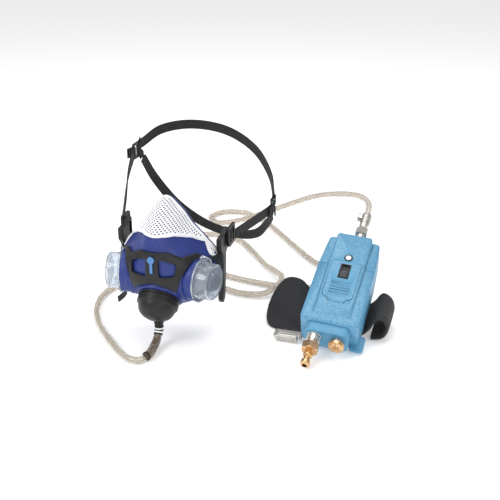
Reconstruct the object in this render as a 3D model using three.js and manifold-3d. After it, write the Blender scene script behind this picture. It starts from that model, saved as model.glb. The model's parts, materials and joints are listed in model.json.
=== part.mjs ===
// Airline half-mask respirator with a belt-worn regulator unit, in millimetres.
// Frame: origin at the centre of the face seal, the mask looks along -Y, +Z is up,
// and the belt unit and the hose lie on a table at z = -100.
import * as THREE from 'three';
import { mergeVertices } from 'three/addons/utils/BufferGeometryUtils.js';
import Module from 'manifold-3d';

const wasm = await Module();
wasm.setup();

// ---------------------------------------------------------------- driving dimensions
const GAP = 0.3; // between touching pieces
const SIMPLE = 0.04; // facets flatter than this are merged

// mask
const MASK_WALL = 2.6;
const OUTLINE_CENTRE_Z = -15;
const NET_THICKNESS = 1.2;
const YOKE_THICKNESS = 3;
const SIDE_PORT = new THREE.Vector3(41.5, -35, -28); // inner face of the cover flange
const SIDE_PORT_YAW = 80; // degrees from straight ahead
const SIDE_BOSS_R = 23.5;
const SIDE_BORE_R = 18.3;
const SEAT_DEPTH = 9;
const COVER_FLANGE_R = 22.8;
const COVER_R = 18.6;
const COVER_LENGTH = 15.5;
const COVER_WALL = 1.8;
const INLET_CENTRE = new THREE.Vector3(0, -47, -50); // inner face of the cup rim
const INLET_TILT = 48.5; // degrees forward of straight down
const INLET_BOSS_R = 24;
const INLET_BORE_R = 16.5;
const CUP_R = 21;
const CUP_DEPTH = 22.5;
const CUP_WALL = 2;
const VALVE_THICKNESS = 1;
const SPOUT_R = 5;
const BARB_R = 3.2;
const SPOUT_END_Z = -75.5;
const BARB_END_Z = -77;

// hose
const HOSE_D = 7;
const GUARD_R = 4.7;

// straps
const STRAP_WIDTH = 11;
const STRAP_THICKNESS = 1.6;
const BUCKLE_X = 58;

// belt unit, in its own frame: x across, y along from the lower end, z out of the front
const UNIT_ORIGIN = new THREE.Vector3(169, -21, -64);
const UNIT_PITCH = 23; // degrees the unit leans back from the table
const UNIT_ROLL = 3;
const UNIT_YAW = -2;
const CASE_WIDTH = 60;
const CASE_LENGTH = 116;
const CASE_DEPTH = 36;
const CASE_SPLIT_Z = -16;
const CASE_WALL = 2.2;
const TOP_TAPER = 2.5; // each side narrows by this from the seam to the top end
const SEAM_Y = 76;
const PANEL_WIDTH = 38;
const PANEL_RISE = 6;
const PANEL_WALL = 4.4;
const PANEL_FOOT = 12; // the panel's face meets the case here
const PANEL_TILT = 3.6; // degrees the face climbs towards the top end
const DOOR_WIDTH = 31;
const DOOR_BOTTOM_Y = 26;
const DOOR_TOP_Y = 78;
const DOOR_THICKNESS = 2.8;
const DOOR_GAP = 0.4;
const LEDGE = 2;
const HINGE_R = 1.5;
const HINGE_PIN_R = 0.7;
const HINGE_HALF = 8;
const TONGUE = 4.5; // the door's middle reaches this far below its corners
const BEZEL_SIZE = new THREE.Vector2(10.6, 18.6);
const BEZEL_Y = 66;
const INDICATOR_Y = 84;
const SLIDER_SIZE = new THREE.Vector2(7.2, 7.4);
const PORT_X = 12; // inlet on the left, knob on the right
const PORT_Z = -12;
const COLLAR_DROP = 11;
const NUT_R = 7;
const NUT_LENGTH = 11;
const PLUG_HEX = 15.5; // across flats
const PLUG_HEX_LENGTH = 8;
const PLUG_LENGTH = 18;
const PLUG_R = 4.9;
const PLUG_BORE_R = 2.6;
const KNOB_R = 8.2;
const KNOB_LENGTH = 5.4;
const GLAND_R = 5;
const GLAND_LENGTH = 4.2;
const NEEDLE_R = 1.8;
const OUTLET_X = 3;
const OUTLET_Z = -6;
const OUTLET_STEM_R = 4.5;
const OUTLET_HEX = 12.4;
const OUTLET_BARB_R = 3;
const OUTLET_END_Y = 161;
const REGULATOR_Y = 96;
const REGULATOR_R = 14;
const FILTER_R = 12.2;
const FILTER_Z = -15.5;
const SCREW_R = 2.6;

// belt
const BELT_THICKNESS = 3.6;
const ROLLER_LENGTH = 22;
const ROLLER_R = 4.4;

const SHELL_SEGMENTS = 28; // round the mask
const DEG = Math.PI / 180;

// ---------------------------------------------------------------- materials
const material = (color, roughness, metalness = 0) =>
  new THREE.MeshStandardMaterial({ color, roughness, metalness });
const BLUE_RUBBER = material(0x23327a, 0.6);
const LIGHT_PEG = material(0x4678b4, 0.4);
const WHITE_NET = material(0xe9eaee, 0.9);
const BLACK_PLASTIC = material(0x141416, 0.45);
const BLACK_WEBBING = material(0x1a1a1c, 0.9);
const CLEAR_PLASTIC = material(0xb9c6d6, 0.2);
const SOFT_RUBBER = material(0x9aa0a8, 0.7);
const CASE_BLUE = material(0x64a5cd, 0.55);
const GREY_PLASTIC = material(0x3c4046, 0.6);
const WHITE_PLASTIC = material(0xf0f0f0, 0.4);
const NICKEL = material(0xb8b4aa, 0.3, 1);
const BRASS = material(0xbe8246, 0.3, 1);
const STEEL = material(0xa8a8aa, 0.35, 1);
const HOSE_CLEAR = material(0xd6c8b0, 0.3);

// ---------------------------------------------------------------- solids
function toSolid(geometry) {
  const bare = geometry.clone();
  bare.deleteAttribute('normal');
  bare.deleteAttribute('uv');
  const merged = mergeVertices(bare, 1e-4);
  const index = Array.from(merged.index.array);
  const kept = [];
  for (let i = 0; i < index.length; i += 3) {
    const [a, b, c] = index.slice(i, i + 3);
    if (a !== b && b !== c && c !== a) kept.push(a, b, c);
  }
  const position = merged.attributes.position.array;
  if (signedVolume(position, kept) < 0) kept.reverse();
  return new wasm.Manifold(new wasm.Mesh({
    numProp: 3, vertProperties: new Float32Array(position), triVerts: new Uint32Array(kept),
  }));
}

function signedVolume(position, index) {
  let volume = 0;
  const corner = (k) => new THREE.Vector3().fromArray(position, 3 * k);
  for (let i = 0; i < index.length; i += 3) {
    const [a, b, c] = [corner(index[i]), corner(index[i + 1]), corner(index[i + 2])];
    volume += a.dot(b.cross(c)) / 6;
  }
  return volume;
}

function toGeometry(solid) {
  const mesh = solid.getMesh();
  const geometry = new THREE.BufferGeometry();
  geometry.setAttribute('position', new THREE.BufferAttribute(new Float32Array(mesh.vertProperties), 3));
  geometry.setIndex(new THREE.BufferAttribute(new Uint32Array(mesh.triVerts), 1));
  return geometry;
}

const place = (x, y, z) => new THREE.Matrix4().makeTranslation(x, y, z);
const at = (geometry, x, y, z) => geometry.clone().translate(x, y, z);

// matrix that turns the local +Y axis onto a direction and moves the origin to a point
function alongAxis(origin, direction) {
  const turn = new THREE.Quaternion().setFromUnitVectors(new THREE.Vector3(0, 1, 0), direction);
  return new THREE.Matrix4().compose(origin, turn, new THREE.Vector3(1, 1, 1));
}

function box(x0, x1, y0, y1, z0, z1) {
  const geometry = new THREE.BoxGeometry(x1 - x0, y1 - y0, z1 - z0);
  return toSolid(geometry.translate((x0 + x1) / 2, (y0 + y1) / 2, (z0 + z1) / 2));
}

// solid of revolution about local Y; the profile is a list of [radius, height]
function turned(profile, segments = 32, matrix = null) {
  const points = profile.map(([r, h]) => new THREE.Vector2(r, h));
  const geometry = new THREE.LatheGeometry(points, segments);
  if (matrix) geometry.applyMatrix4(matrix);
  return toSolid(geometry);
}

const rod = (r, y0, y1, segments = 24, matrix = null) =>
  turned([[0, y0], [r, y0], [r, y1], [0, y1]], segments, matrix);
const pipe = (outer, inner, y0, y1, segments = 32, matrix = null) =>
  turned([[inner, y0], [outer, y0], [outer, y1], [inner, y1], [inner, y0]], segments, matrix);

function roundedRect(x0, x1, y0, y1, r) {
  const shape = new THREE.Shape();
  shape.moveTo(x0 + r, y0);
  shape.lineTo(x1 - r, y0);
  shape.absarc(x1 - r, y0 + r, r, -Math.PI / 2, 0, false);
  shape.lineTo(x1, y1 - r);
  shape.absarc(x1 - r, y1 - r, r, 0, Math.PI / 2, false);
  shape.lineTo(x0 + r, y1);
  shape.absarc(x0 + r, y1 - r, r, Math.PI / 2, Math.PI, false);
  shape.lineTo(x0, y0 + r);
  shape.absarc(x0 + r, y0 + r, r, Math.PI, 1.5 * Math.PI, false);
  return shape;
}

function extruded(shape, z0, z1, curveSegments = 3) {
  const geometry = new THREE.ExtrudeGeometry(shape, { depth: z1 - z0, bevelEnabled: false, curveSegments });
  return toSolid(geometry.translate(0, 0, z0));
}

// extrudes an outline drawn in X and Z along Y
function prismXZ(points, y0, y1) {
  const shape = new THREE.Shape(points.map(([x, z]) => new THREE.Vector2(x, z)));
  const geometry = new THREE.ExtrudeGeometry(shape, { depth: y1 - y0, bevelEnabled: false });
  return toSolid(geometry.rotateX(Math.PI / 2).translate(0, y1, 0));
}

// extrudes an outline drawn in Y and Z along X
function prismYZ(points, x0, x1) {
  const shape = new THREE.Shape(points.map(([y, z]) => new THREE.Vector2(y, z)));
  const geometry = new THREE.ExtrudeGeometry(shape, { depth: x1 - x0, bevelEnabled: false });
  geometry.applyMatrix4(new THREE.Matrix4().set(0, 0, 1, x0, 1, 0, 0, 0, 0, 1, 0, 0, 0, 0, 0, 1));
  return toSolid(geometry);
}

const mirrorX = (points) => points.concat(points.slice().reverse().map(([x, z]) => [-x, z]));

function hexagon(acrossFlats, y0, y1, matrix = null) {
  const geometry = new THREE.CylinderGeometry(acrossFlats / Math.sqrt(3), acrossFlats / Math.sqrt(3),
    y1 - y0, 6);
  geometry.translate(0, (y0 + y1) / 2, 0);
  if (matrix) geometry.applyMatrix4(matrix);
  return toSolid(geometry);
}

// flat band along a smooth path; its face looks away from a centre line that runs up at (centreX, centreY)
function strapBand(points, width, thickness, centre, steps) {
  const curve = new THREE.CatmullRomCurve3(points.map((p) => new THREE.Vector3(...p)));
  const rings = [];
  for (let i = 0; i <= steps; i += 1) {
    const middle = curve.getPointAt(i / steps);
    const tangent = curve.getTangentAt(i / steps);
    const outward = new THREE.Vector3(middle.x - centre[0], middle.y - centre[1], 0);
    outward.addScaledVector(tangent, -outward.dot(tangent)).normalize();
    const across = new THREE.Vector3().crossVectors(tangent, outward);
    const corners = [[-1, -1], [1, -1], [1, 1], [-1, 1]].map(([a, o]) => middle.clone()
      .addScaledVector(across, a * width / 2).addScaledVector(outward, o * thickness / 2));
    rings.push(corners);
  }
  return loft(rings);
}

// closed body through rings of equally many corners
function loft(rings) {
  const count = rings[0].length;
  const position = rings.flat().flatMap((v) => [v.x, v.y, v.z]);
  const index = [];
  for (let i = 0; i + 1 < rings.length; i += 1) {
    for (let j = 0; j < count; j += 1) {
      const a = i * count + j;
      const b = i * count + ((j + 1) % count);
      index.push(a, b, b + count, a, b + count, a + count);
    }
  }
  const last = (rings.length - 1) * count;
  for (let j = 1; j + 1 < count; j += 1) {
    index.push(0, j + 1, j, last, last + j, last + j + 1);
  }
  const geometry = new THREE.BufferGeometry();
  geometry.setAttribute('position', new THREE.Float32BufferAttribute(position, 3));
  geometry.setIndex(index);
  return toSolid(geometry);
}

// ruled band between two edges, each a list of [x, y, z]
function ruledBand(edgeA, edgeB, thickness, steps) {
  const curveA = new THREE.CatmullRomCurve3(edgeA.map((p) => new THREE.Vector3(...p)));
  const curveB = new THREE.CatmullRomCurve3(edgeB.map((p) => new THREE.Vector3(...p)));
  const rings = [];
  for (let i = 0; i <= steps; i += 1) {
    const a = curveA.getPoint(i / steps);
    const b = curveB.getPoint(i / steps);
    const tangent = curveA.getTangent(i / steps).add(curveB.getTangent(i / steps)).normalize();
    const face = new THREE.Vector3().crossVectors(tangent, b.clone().sub(a)).normalize();
    rings.push([a.clone().addScaledVector(face, -thickness / 2), b.clone().addScaledVector(face,
      -thickness / 2),
      b.clone().addScaledVector(face, thickness / 2), a.clone().addScaledVector(face, thickness / 2)]);
  }
  return loft(rings);
}

// round or ring-shaped section along a path of straight and curved runs
function tube(points, outer, inner, steps, sides) {
  const curve = new THREE.CatmullRomCurve3(points.map((p) => new THREE.Vector3(...p)), false,
    'centripetal');
  const section = new THREE.Shape();
  section.absarc(0, 0, outer, 0, 2 * Math.PI, false);
  if (inner > 0) {
    const hole = new THREE.Path();
    hole.absarc(0, 0, inner, 0, 2 * Math.PI, true);
    section.holes.push(hole);
  }
  return toSolid(new THREE.ExtrudeGeometry(section, {
    steps, extrudePath: curve, curveSegments: sides / 2, bevelEnabled: false,
  }));
}

const root = new THREE.Group();
const unit = new THREE.Group();
unit.position.copy(UNIT_ORIGIN);
unit.rotation.set(UNIT_PITCH * DEG, UNIT_ROLL * DEG, UNIT_YAW * DEG, 'YXZ');
root.add(unit);

function add(group, name, solid, mat) {
  const mesh = new THREE.Mesh(toGeometry(solid.simplify(SIMPLE)), mat);
  mesh.name = name;
  group.add(mesh);
}

// ---------------------------------------------------------------- mask shell
// seal outline as [x, z] from the nose down one side to the chin
const OUTLINE = [[0, 49], [12, 40], [25, 22], [38, 6], [49, -8], [52, -25], [49, -42], [38, -56],
  [20, -68], [0, -72]];
// shell section as [fraction of the outline radius, y], outside from the front to the seal lip
const OUTSIDE = [[0, -58.5], [0.25, -58], [0.45, -54.5], [0.62, -47.5], [0.78, -36], [0.9, -24],
  [0.98, -12],
  [1, -6], [0.98, -1], [0.9, 3], [0.74, 5]];
const NOSE_FORWARD = 7; // the seal sits this much further forward over the nose

const polarOutline = OUTLINE.map(([x, z]) => {
  const rise = z - OUTLINE_CENTRE_Z;
  return [Math.atan2(x, rise), Math.hypot(x, rise)];
});

function outlineRadius(angle) {
  const a = Math.abs(Math.atan2(Math.sin(angle), Math.cos(angle)));
  let k = 0;
  while (k + 2 < polarOutline.length && polarOutline[k + 1][0] < a) k += 1;
  const pick = (i) => {
    if (i < 0) return [-polarOutline[-i][0], polarOutline[-i][1]];
    const last = polarOutline.length - 1;
    if (i > last) return [2 * Math.PI - polarOutline[2 * last - i][0], polarOutline[2 * last - i][1]];
    return polarOutline[i];
  };
  const [[a0, r0], [a1, r1], [a2, r2], [a3, r3]] = [pick(k - 1), pick(k), pick(k + 1), pick(k + 2)];
  const t = (a - a1) / (a2 - a1);
  const m1 = (r2 - r0) / (a2 - a0) * (a2 - a1);
  const m2 = (r3 - r1) / (a3 - a1) * (a2 - a1);
  return r1 * (2 * t ** 3 - 3 * t ** 2 + 1) + m1 * (t ** 3 - 2 * t ** 2 + t)
    + r2 * (3 * t ** 2 - 2 * t ** 3) + m2 * (t ** 3 - t ** 2);
}

// the outside section moved out by a distance, in front of the seal's edge
function offsetSection(distance, count) {
  const meanRadius = 52;
  return OUTSIDE.slice(0, count).map(([f, y], i, list) => {
    const before = list[Math.max(i - 1, 0)];
    const after = list[Math.min(i + 1, list.length - 1)];
    const run = new THREE.Vector2((after[0] - before[0]) * meanRadius, after[1] - before[1]).normalize();
    const out = new THREE.Vector2(run.y, -run.x);
    return [i === 0 ? 0 : f + out.x * distance / meanRadius, y + out.y * distance];
  });
}

// closed shell between two sections of the mask
function maskShell(outside, inside, segments) {
  const points = [...outside, ...inside.slice().reverse()].map(([f, y]) => new THREE.Vector2(f, y));
  const geometry = new THREE.LatheGeometry(points, segments);
  const position = geometry.attributes.position;
  for (let i = 0; i < position.count; i += 1) {
    const [x, y, z] = [position.getX(i), position.getY(i), position.getZ(i)];
    const angle = Math.atan2(x, z);
    const fraction = Math.hypot(x, z);
    const reach = outlineRadius(angle) * fraction;
    const forward = NOSE_FORWARD * fraction ** 3 * Math.max(0, Math.cos(angle)) ** 2;
    position.setXYZ(i, reach * Math.sin(angle), y - forward, OUTLINE_CENTRE_Z + reach * Math.cos(angle));
  }
  return toSolid(geometry);
}

const sideDirection = (side) => new THREE.Vector3(side * Math.sin(SIDE_PORT_YAW * DEG),
  -Math.cos(SIDE_PORT_YAW * DEG), 0);
const sideMatrix = (side) => alongAxis(
  new THREE.Vector3(side * SIDE_PORT.x, SIDE_PORT.y, SIDE_PORT.z), sideDirection(side));
const inletDirection = new THREE.Vector3(0, -Math.sin(INLET_TILT * DEG), -Math.cos(INLET_TILT * DEG));
const inletMatrix = alongAxis(INLET_CENTRE, inletDirection);
const sides = [['left', 1], ['right', -1]]; // of the wearer

const BOSS_ROOT = -26;
const SIDE_BOSS_END = -SEAT_DEPTH - GAP;
const INLET_BOSS_END = -2.6;

function facepiece() {
  const lip = [[0.74, 2.6], [0.87, 0.8], [0.94, -3], [0.95, -7]];
  const inner = offsetSection(-MASK_WALL, 7);
  let shell = maskShell(OUTSIDE, [...inner, ...lip.reverse()], SHELL_SEGMENTS);
  const cavity = maskShell([...offsetSection(-MASK_WALL, 7), [0.7, 12], [0, 12]], [[0, 12]],
    SHELL_SEGMENTS);
  for (const [, side] of sides) {
    const boss = rod(SIDE_BOSS_R, BOSS_ROOT, SIDE_BOSS_END, 28, sideMatrix(side)).subtract(cavity);
    shell = shell.add(boss).subtract(rod(SIDE_BORE_R, BOSS_ROOT - 8, 30, 28, sideMatrix(side)))
      .subtract(rod(SIDE_BOSS_R - 0.2, SIDE_BOSS_END, 30, 28, sideMatrix(side)));
  }
  const inletBoss = turned([[0, -16], [INLET_BOSS_R + 3, -16], [INLET_BOSS_R, INLET_BOSS_END],
    [0, INLET_BOSS_END]],
    28, inletMatrix).subtract(cavity);
  return shell.add(inletBoss).subtract(rod(INLET_BORE_R, -24, 30, 28, inletMatrix))
    .subtract(rod(INLET_BOSS_R - 1, INLET_BOSS_END, 30, 28, inletMatrix));
}

function sideClearance(solid, radius) {
  return sides.reduce((rest, [, side]) => rest.subtract(rod(radius, BOSS_ROOT - 10, 40, 28,
    sideMatrix(side))), solid);
}

function noseCover() {
  const shell = maskShell(offsetSection(GAP + NET_THICKNESS, 8), offsetSection(GAP, 8), SHELL_SEGMENTS);
  const outline = mirrorX([[0, 70], [70, 70], [70, -7], [46, -7], [39, 4], [29, 12], [16, 18.5], [0, 20]]);
  return shell.intersect(prismXZ(outline, -80, 10));
}

const YOKE_EDGE = [[0, 7], [14, 6], [26, -1], [36, 0], [42, -4], [47, -9], [70, -9], [70, -50], [44, -52]];
const WINDOW = [[6.6, -1.2], [8, 0.2], [21.5, -4.6], [23, -6.5], [22.5, -15.5], [21, -17], [8.5, -18.3],
  [7, -16.8]];

function harnessYoke() {
  const shell = maskShell(offsetSection(GAP + YOKE_THICKNESS, 8), offsetSection(GAP, 8), SHELL_SEGMENTS);
  let yoke = shell.intersect(prismXZ(mirrorX(YOKE_EDGE), -80, -4));
  for (const side of [1, -1]) {
    yoke = yoke.subtract(prismXZ(WINDOW.map(([x, z]) => [side * x, z]), -80, -30));
  }
  yoke = sideClearance(yoke, SIDE_BOSS_R + GAP);
  yoke = yoke.subtract(rod(INLET_BOSS_R + 3 + GAP, -30, 20, 28, inletMatrix));
  const arm = [[-14, 8], [-2, 9], [8, 14], [11, 12], [11, -8], [3, -12], [1, -40], [-2, -62], [-8, -65],
    [-11, -60],
    [-8, -40], [-8, -12], [-14, -4]];
  const slot = [[4, 9], [8, 9], [8, -5], [4, -5]];
  for (const side of [1, -1]) {
    const reach = [side * 50.5, side * 56].sort((p, q) => p - q);
    const plate = prismYZ(arm, reach[0], reach[1]).subtract(prismYZ(slot, reach[0] - 1, reach[1] + 1));
    yoke = yoke.add(plate);
  }
  const under = maskShell(offsetSection(GAP, 11), [[0, 20]], SHELL_SEGMENTS);
  const underNet = maskShell(offsetSection(2 * GAP + NET_THICKNESS, 8), [[0, 20]], SHELL_SEGMENTS)
    .intersect(prismXZ([[-90, -7.3], [90, -7.3], [90, 70], [-90, 70]], -40, 0));
  yoke = yoke.subtract(under).subtract(underNet);
  return sideClearance(yoke, SIDE_BOSS_R + GAP);
}

function frontPeg() {
  const head = rod(3.6, -63.6, -61.9, 20, place(0, 0, 0));
  const stem = box(-1.4, 1.4, -63.2, -61.9, -14, -1);
  return head.add(stem);
}

function valveSeat(matrix, flangeR, spigotR, boreR, front, back, webAt) {
  let seat = pipe(flangeR, boreR, back, front, 20, matrix).add(pipe(spigotR, boreR, back - 4, back + 0.5,
    20, matrix));
  seat = seat.add(rod(boreR + 0.5, webAt, webAt + 1.5, 20, matrix));
  const holes = 5;
  for (let i = 0; i < holes; i += 1) {
    const angle = i * 2 * Math.PI / holes;
    const spot = place(Math.cos(angle) * boreR * 0.58, 0, Math.sin(angle) * boreR * 0.58);
    seat = seat.subtract(rod(boreR * 0.27, webAt - 2, webAt + 4, 8, matrix.clone().multiply(spot)));
  }
  return seat;
}

function valveDisc(matrix, radius, start) {
  return turned([[0, start], [radius, start], [radius, start + VALVE_THICKNESS],
    [3, start + VALVE_THICKNESS],
    [2.2, start + 2], [0, start + 2]], 20, matrix);
}

function sideCover(side) {
  const matrix = sideMatrix(side);
  const inner = COVER_R - COVER_WALL;
  let cover = turned([[inner, 0], [COVER_FLANGE_R, 0], [COVER_FLANGE_R, 2], [COVER_R, 2.4],
    [COVER_R, COVER_LENGTH - 1],
    [COVER_R - 1, COVER_LENGTH], [0, COVER_LENGTH], [0, COVER_LENGTH - COVER_WALL],
    [inner, COVER_LENGTH - COVER_WALL], [inner, 0]], 28, matrix);
  for (const [x, z] of [[side * -4, 10.5], [side * 4, 10.5]]) {
    cover = cover.subtract(rod(1.2, COVER_LENGTH - 4, COVER_LENGTH + 2, 10,
      matrix.clone().multiply(place(x, 0, z))));
  }
  for (let i = 0; i < 4; i += 1) {
    const turn = new THREE.Matrix4().makeRotationY((150 + 20 * i) * DEG);
    const vent = toSolid(new THREE.BoxGeometry(3, 7, 8).translate(0, 8, COVER_R)
      .applyMatrix4(matrix.clone().multiply(turn)));
    cover = cover.subtract(vent);
  }
  const tab = toSolid(new THREE.BoxGeometry(5, 2, 4).translate(0, 1,
    COVER_FLANGE_R + 1.2).applyMatrix4(matrix));
  return cover.add(tab);
}

function inletCup() {
  const outer = [[CUP_R, 0], [CUP_R, 7.5], [CUP_R - 1.6, 8], [CUP_R - 3.4, 14], [CUP_R - 8.6, 19.8],
    [0, CUP_DEPTH]];
  const inner = [[CUP_R - 3, 5], [CUP_R - 5.8, 12.4], [CUP_R - 9.8, 17.4], [0, CUP_DEPTH - CUP_WALL]];
  const shell = turned([...outer, ...inner.toReversed(), [CUP_R - 2.4, 0], [CUP_R, 0]], 28, inletMatrix);
  const hollow = turned([[0, -2], [CUP_R - 2.4, -2], ...inner], 28, inletMatrix);
  const down = alongAxis(new THREE.Vector3(0, -50, SPOUT_END_Z), new THREE.Vector3(0, 0, 1));
  const spout = rod(SPOUT_R, 0, 22, 20, down).subtract(hollow);
  return shell.add(spout).subtract(rod(2.2, -1, 22, 14, down)).subtract(rod(BARB_R + GAP, -1, 3, 16, down));
}

function inletBarb() {
  const down = alongAxis(new THREE.Vector3(0, -50, BARB_END_Z), new THREE.Vector3(0, 0, 1));
  return pipe(BARB_R, 1.8, 0, SPOUT_END_Z - BARB_END_Z + 2.6, 16, down);
}

add(root, 'facepiece', facepiece(), BLUE_RUBBER);
add(root, 'nose_cover', noseCover(), WHITE_NET);
add(root, 'harness_yoke', harnessYoke(), BLACK_PLASTIC);
add(root, 'front_peg', frontPeg(), LIGHT_PEG);
for (const [name, side] of sides) {
  const matrix = sideMatrix(side);
  const seat = valveSeat(matrix, COVER_FLANGE_R - 0.6, SIDE_BORE_R - GAP, 16.4, -GAP, -SEAT_DEPTH, -6);
  add(root, `${name}_valve_seat`, seat, BLUE_RUBBER);
  add(root, `${name}_exhale_valve`, valveDisc(matrix, 14.5, -6 + 1.5 + GAP), SOFT_RUBBER);
  add(root, `${name}_valve_cover`, sideCover(side), CLEAR_PLASTIC);
}
add(root, 'inlet_cup', inletCup(), BLACK_PLASTIC);
function inletSpider() {
  let seat = pipe(CUP_R, 14.5, INLET_BOSS_END + GAP, -GAP, 20, inletMatrix)
    .add(pipe(INLET_BORE_R - GAP, 14.5, -9, -2, 20, inletMatrix)).add(rod(15, -5, -3.5, 20, inletMatrix));
  for (let i = 0; i < 5; i += 1) {
    const angle = i * 2 * Math.PI / 5;
    const spot = inletMatrix.clone().multiply(place(Math.cos(angle) * 8, 0, Math.sin(angle) * 8));
    seat = seat.subtract(rod(3.6, -8, 0, 8, spot));
  }
  return seat;
}
add(root, 'inlet_seat', inletSpider(), BLACK_PLASTIC);
const inward = inletMatrix.clone().multiply(new THREE.Matrix4().makeRotationX(Math.PI));
add(root, 'inhale_valve', valveDisc(inward, 12.8, 5 + GAP), SOFT_RUBBER);
add(root, 'inlet_barb', inletBarb(), BLACK_PLASTIC);

// ---------------------------------------------------------------- head harness
const HEAD_CENTRE = [0, 92];
const RIGHT_JOINT = [-79, 95, 57];
const LEFT_JOINT = [77, 106, 0];

function buckle(side) {
  const ring = roundedRect(-4, 16, -10, 12, 3);
  const slots = [roundedRect(-1.2, 3.6, -6.5, 8.5, 1), roundedRect(7, 12.4, -6.5, 8.5, 1)];
  ring.holes.push(...slots);
  const geometry = new THREE.ExtrudeGeometry(ring, { depth: 2.4, bevelEnabled: false, curveSegments: 3 });
  const yz = new THREE.Matrix4().set(0, 0, 1, -1.2, 1, 0, 0, 0, 0, 1, 0, 0, 0, 0, 0, 1);
  geometry.applyMatrix4(yz);
  geometry.applyMatrix4(new THREE.Matrix4().makeTranslation(side * (BUCKLE_X + GAP), 6, 3));
  return toSolid(geometry);
}

function cradleSlide([x, y, z], lean) {
  const ring = roundedRect(-8, 8, -9, 9, 2.5);
  ring.holes.push(roundedRect(-5, 5, -6.5, 6.5, 1.2));
  const geometry = new THREE.ExtrudeGeometry(ring, { depth: 2.4, bevelEnabled: false, curveSegments: 3 });
  const yz = new THREE.Matrix4().set(0, 0, 1, -1.2, 1, 0, 0, 0, 0, 1, 0, 0, 0, 0, 0, 1);
  geometry.applyMatrix4(yz).rotateZ(lean * DEG).translate(x, y, z);
  return toSolid(geometry);
}

const strap = (points, steps) => strapBand(points, STRAP_WIDTH, STRAP_THICKNESS, HEAD_CENTRE, steps);
add(root, 'left_buckle', buckle(1), BLACK_PLASTIC);
add(root, 'right_buckle', buckle(-1), BLACK_PLASTIC);
add(root, 'left_strap', strap([[62, 15, 4], [65, 32, 3.5], [70.5, 62, 2], [75.8, 94, 0.5]], 12),
  BLACK_WEBBING);
add(root, 'right_strap', strap([[-63, 15, 6], [-66.5, 30, 18], [-72, 55, 42], [-77.5, 84, 56]], 12),
  BLACK_WEBBING);
add(root, 'left_cradle_slide', cradleSlide(LEFT_JOINT, 8), BLACK_PLASTIC);
add(root, 'right_cradle_slide', cradleSlide(RIGHT_JOINT, -2), BLACK_PLASTIC);
add(root, 'crown_band', strap([[-77.5, 108, 62], [-66, 142, 70], [-38, 172, 70], [0, 184, 62],
  [38, 172, 46],
  [64, 146, 25], [75.5, 120, 9]], 30), BLACK_WEBBING);
add(root, 'nape_band', strap([[-75.5, 106, 45], [-70, 126, 14], [-50, 148, -26], [-18, 160, -52],
  [18, 160, -60],
  [48, 146, -50], [66, 130, -28], [75, 117, -13]], 30), BLACK_WEBBING);
add(root, 'lower_pull_tab', strapBand([[-55, -6, -68], [-59, -4, -74], [-66, -3, -81]], 7, 1.6, [0, 40], 5),
  BLACK_WEBBING);

// ---------------------------------------------------------------- hose
const HOSE_ROUTE = [
  [-1.6, -87, -95.9], [-5, -91, -96.1], [-15, -91.5, -96.1], [-31, -81, -96.1], [-54, -59, -96.1],
  [-77, -32, -96.1], [-93, -3, -96.1], [-100, 30, -96.1],
  [-92, 60, -96.1], [-66, 84, -96.1], [-30, 92, -96.1], [10, 88, -96.1], [50, 76, -96.1], [76, 80, -94.5],
  [88, 96, -90], [88, 114, -88.6], [76, 134, -92], [56, 158, -96.1], [28, 195, -96.1], [4, 222, -96.1],
  [-26, 234, -96.1], [-56, 222, -96.1], [-66, 194, -96.1], [-54, 164, -96.1], [-24, 138, -96.1],
  [10, 119, -96.1],
  [48, 109, -96.1], [84, 106, -96.1], [118, 110, -96.1], [142, 122, -96.1], [148, 145, -96.1],
  [135, 166, -96.1],
  [112, 183, -96.1], [72, 230, -96.1], [34, 278, -96.1], [10, 304, -96.1], [-20, 320, -96.1],
  [-48, 312, -96.1],
  [-58, 288, -96.1], [-40, 270, -95], [-12, 268, -88], [16, 266, -76], [46, 258, -60], [74, 244, -43],
  [100, 226, -27], [124, 208, -15], [146, 192, -7], [164, 176, -2], [176, 158, -0.5], [180.6, 142, -2.5],
];
const unitMatrix = new THREE.Matrix4().compose(unit.position, unit.quaternion, new THREE.Vector3(1, 1, 1));
const hoseEnd = new THREE.Vector3(OUTLET_X, OUTLET_END_Y + GAP, OUTLET_Z).applyMatrix4(unitMatrix);
add(root, 'air_hose', tube([...HOSE_ROUTE, hoseEnd.toArray()], HOSE_D / 2, 0, 80, 8), HOSE_CLEAR);
const GUARD_ROUTE = [[0, -50, BARB_END_Z - GAP], [0, -50, -79], [0, -51.5, -84], [0, -58, -91],
  [0, -70, -94.6],
  [0.2, -80, -94.9], [-1.2, -85.2, -94.9]];
add(root, 'hose_guard', tube(GUARD_ROUTE, GUARD_R, 2.4, 10, 10), STEEL);

// ---------------------------------------------------------------- belt unit case
const HALF = CASE_WIDTH / 2;
function caseShape(inset) {
  const shape = new THREE.Shape();
  const r = 4 - Math.min(inset, 3);
  const x = HALF - inset;
  const top = x - TOP_TAPER;
  shape.moveTo(-x + r, inset);
  shape.lineTo(x - r, inset);
  shape.absarc(x - r, inset + r, r, -Math.PI / 2, 0, false);
  shape.lineTo(x, SEAM_Y);
  shape.lineTo(top, CASE_LENGTH - inset - r);
  shape.absarc(top - r, CASE_LENGTH - inset - r, r, 0, Math.PI / 2, false);
  shape.lineTo(-top + r, CASE_LENGTH - inset);
  shape.absarc(-top + r, CASE_LENGTH - inset - r, r, Math.PI / 2, Math.PI, false);
  shape.lineTo(-x, SEAM_Y);
  shape.lineTo(-x, inset + r);
  shape.absarc(-x + r, inset + r, r, Math.PI, 1.5 * Math.PI, false);
  return shape;
}

const PANEL_TOP_Y = CASE_LENGTH + 1;
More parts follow.
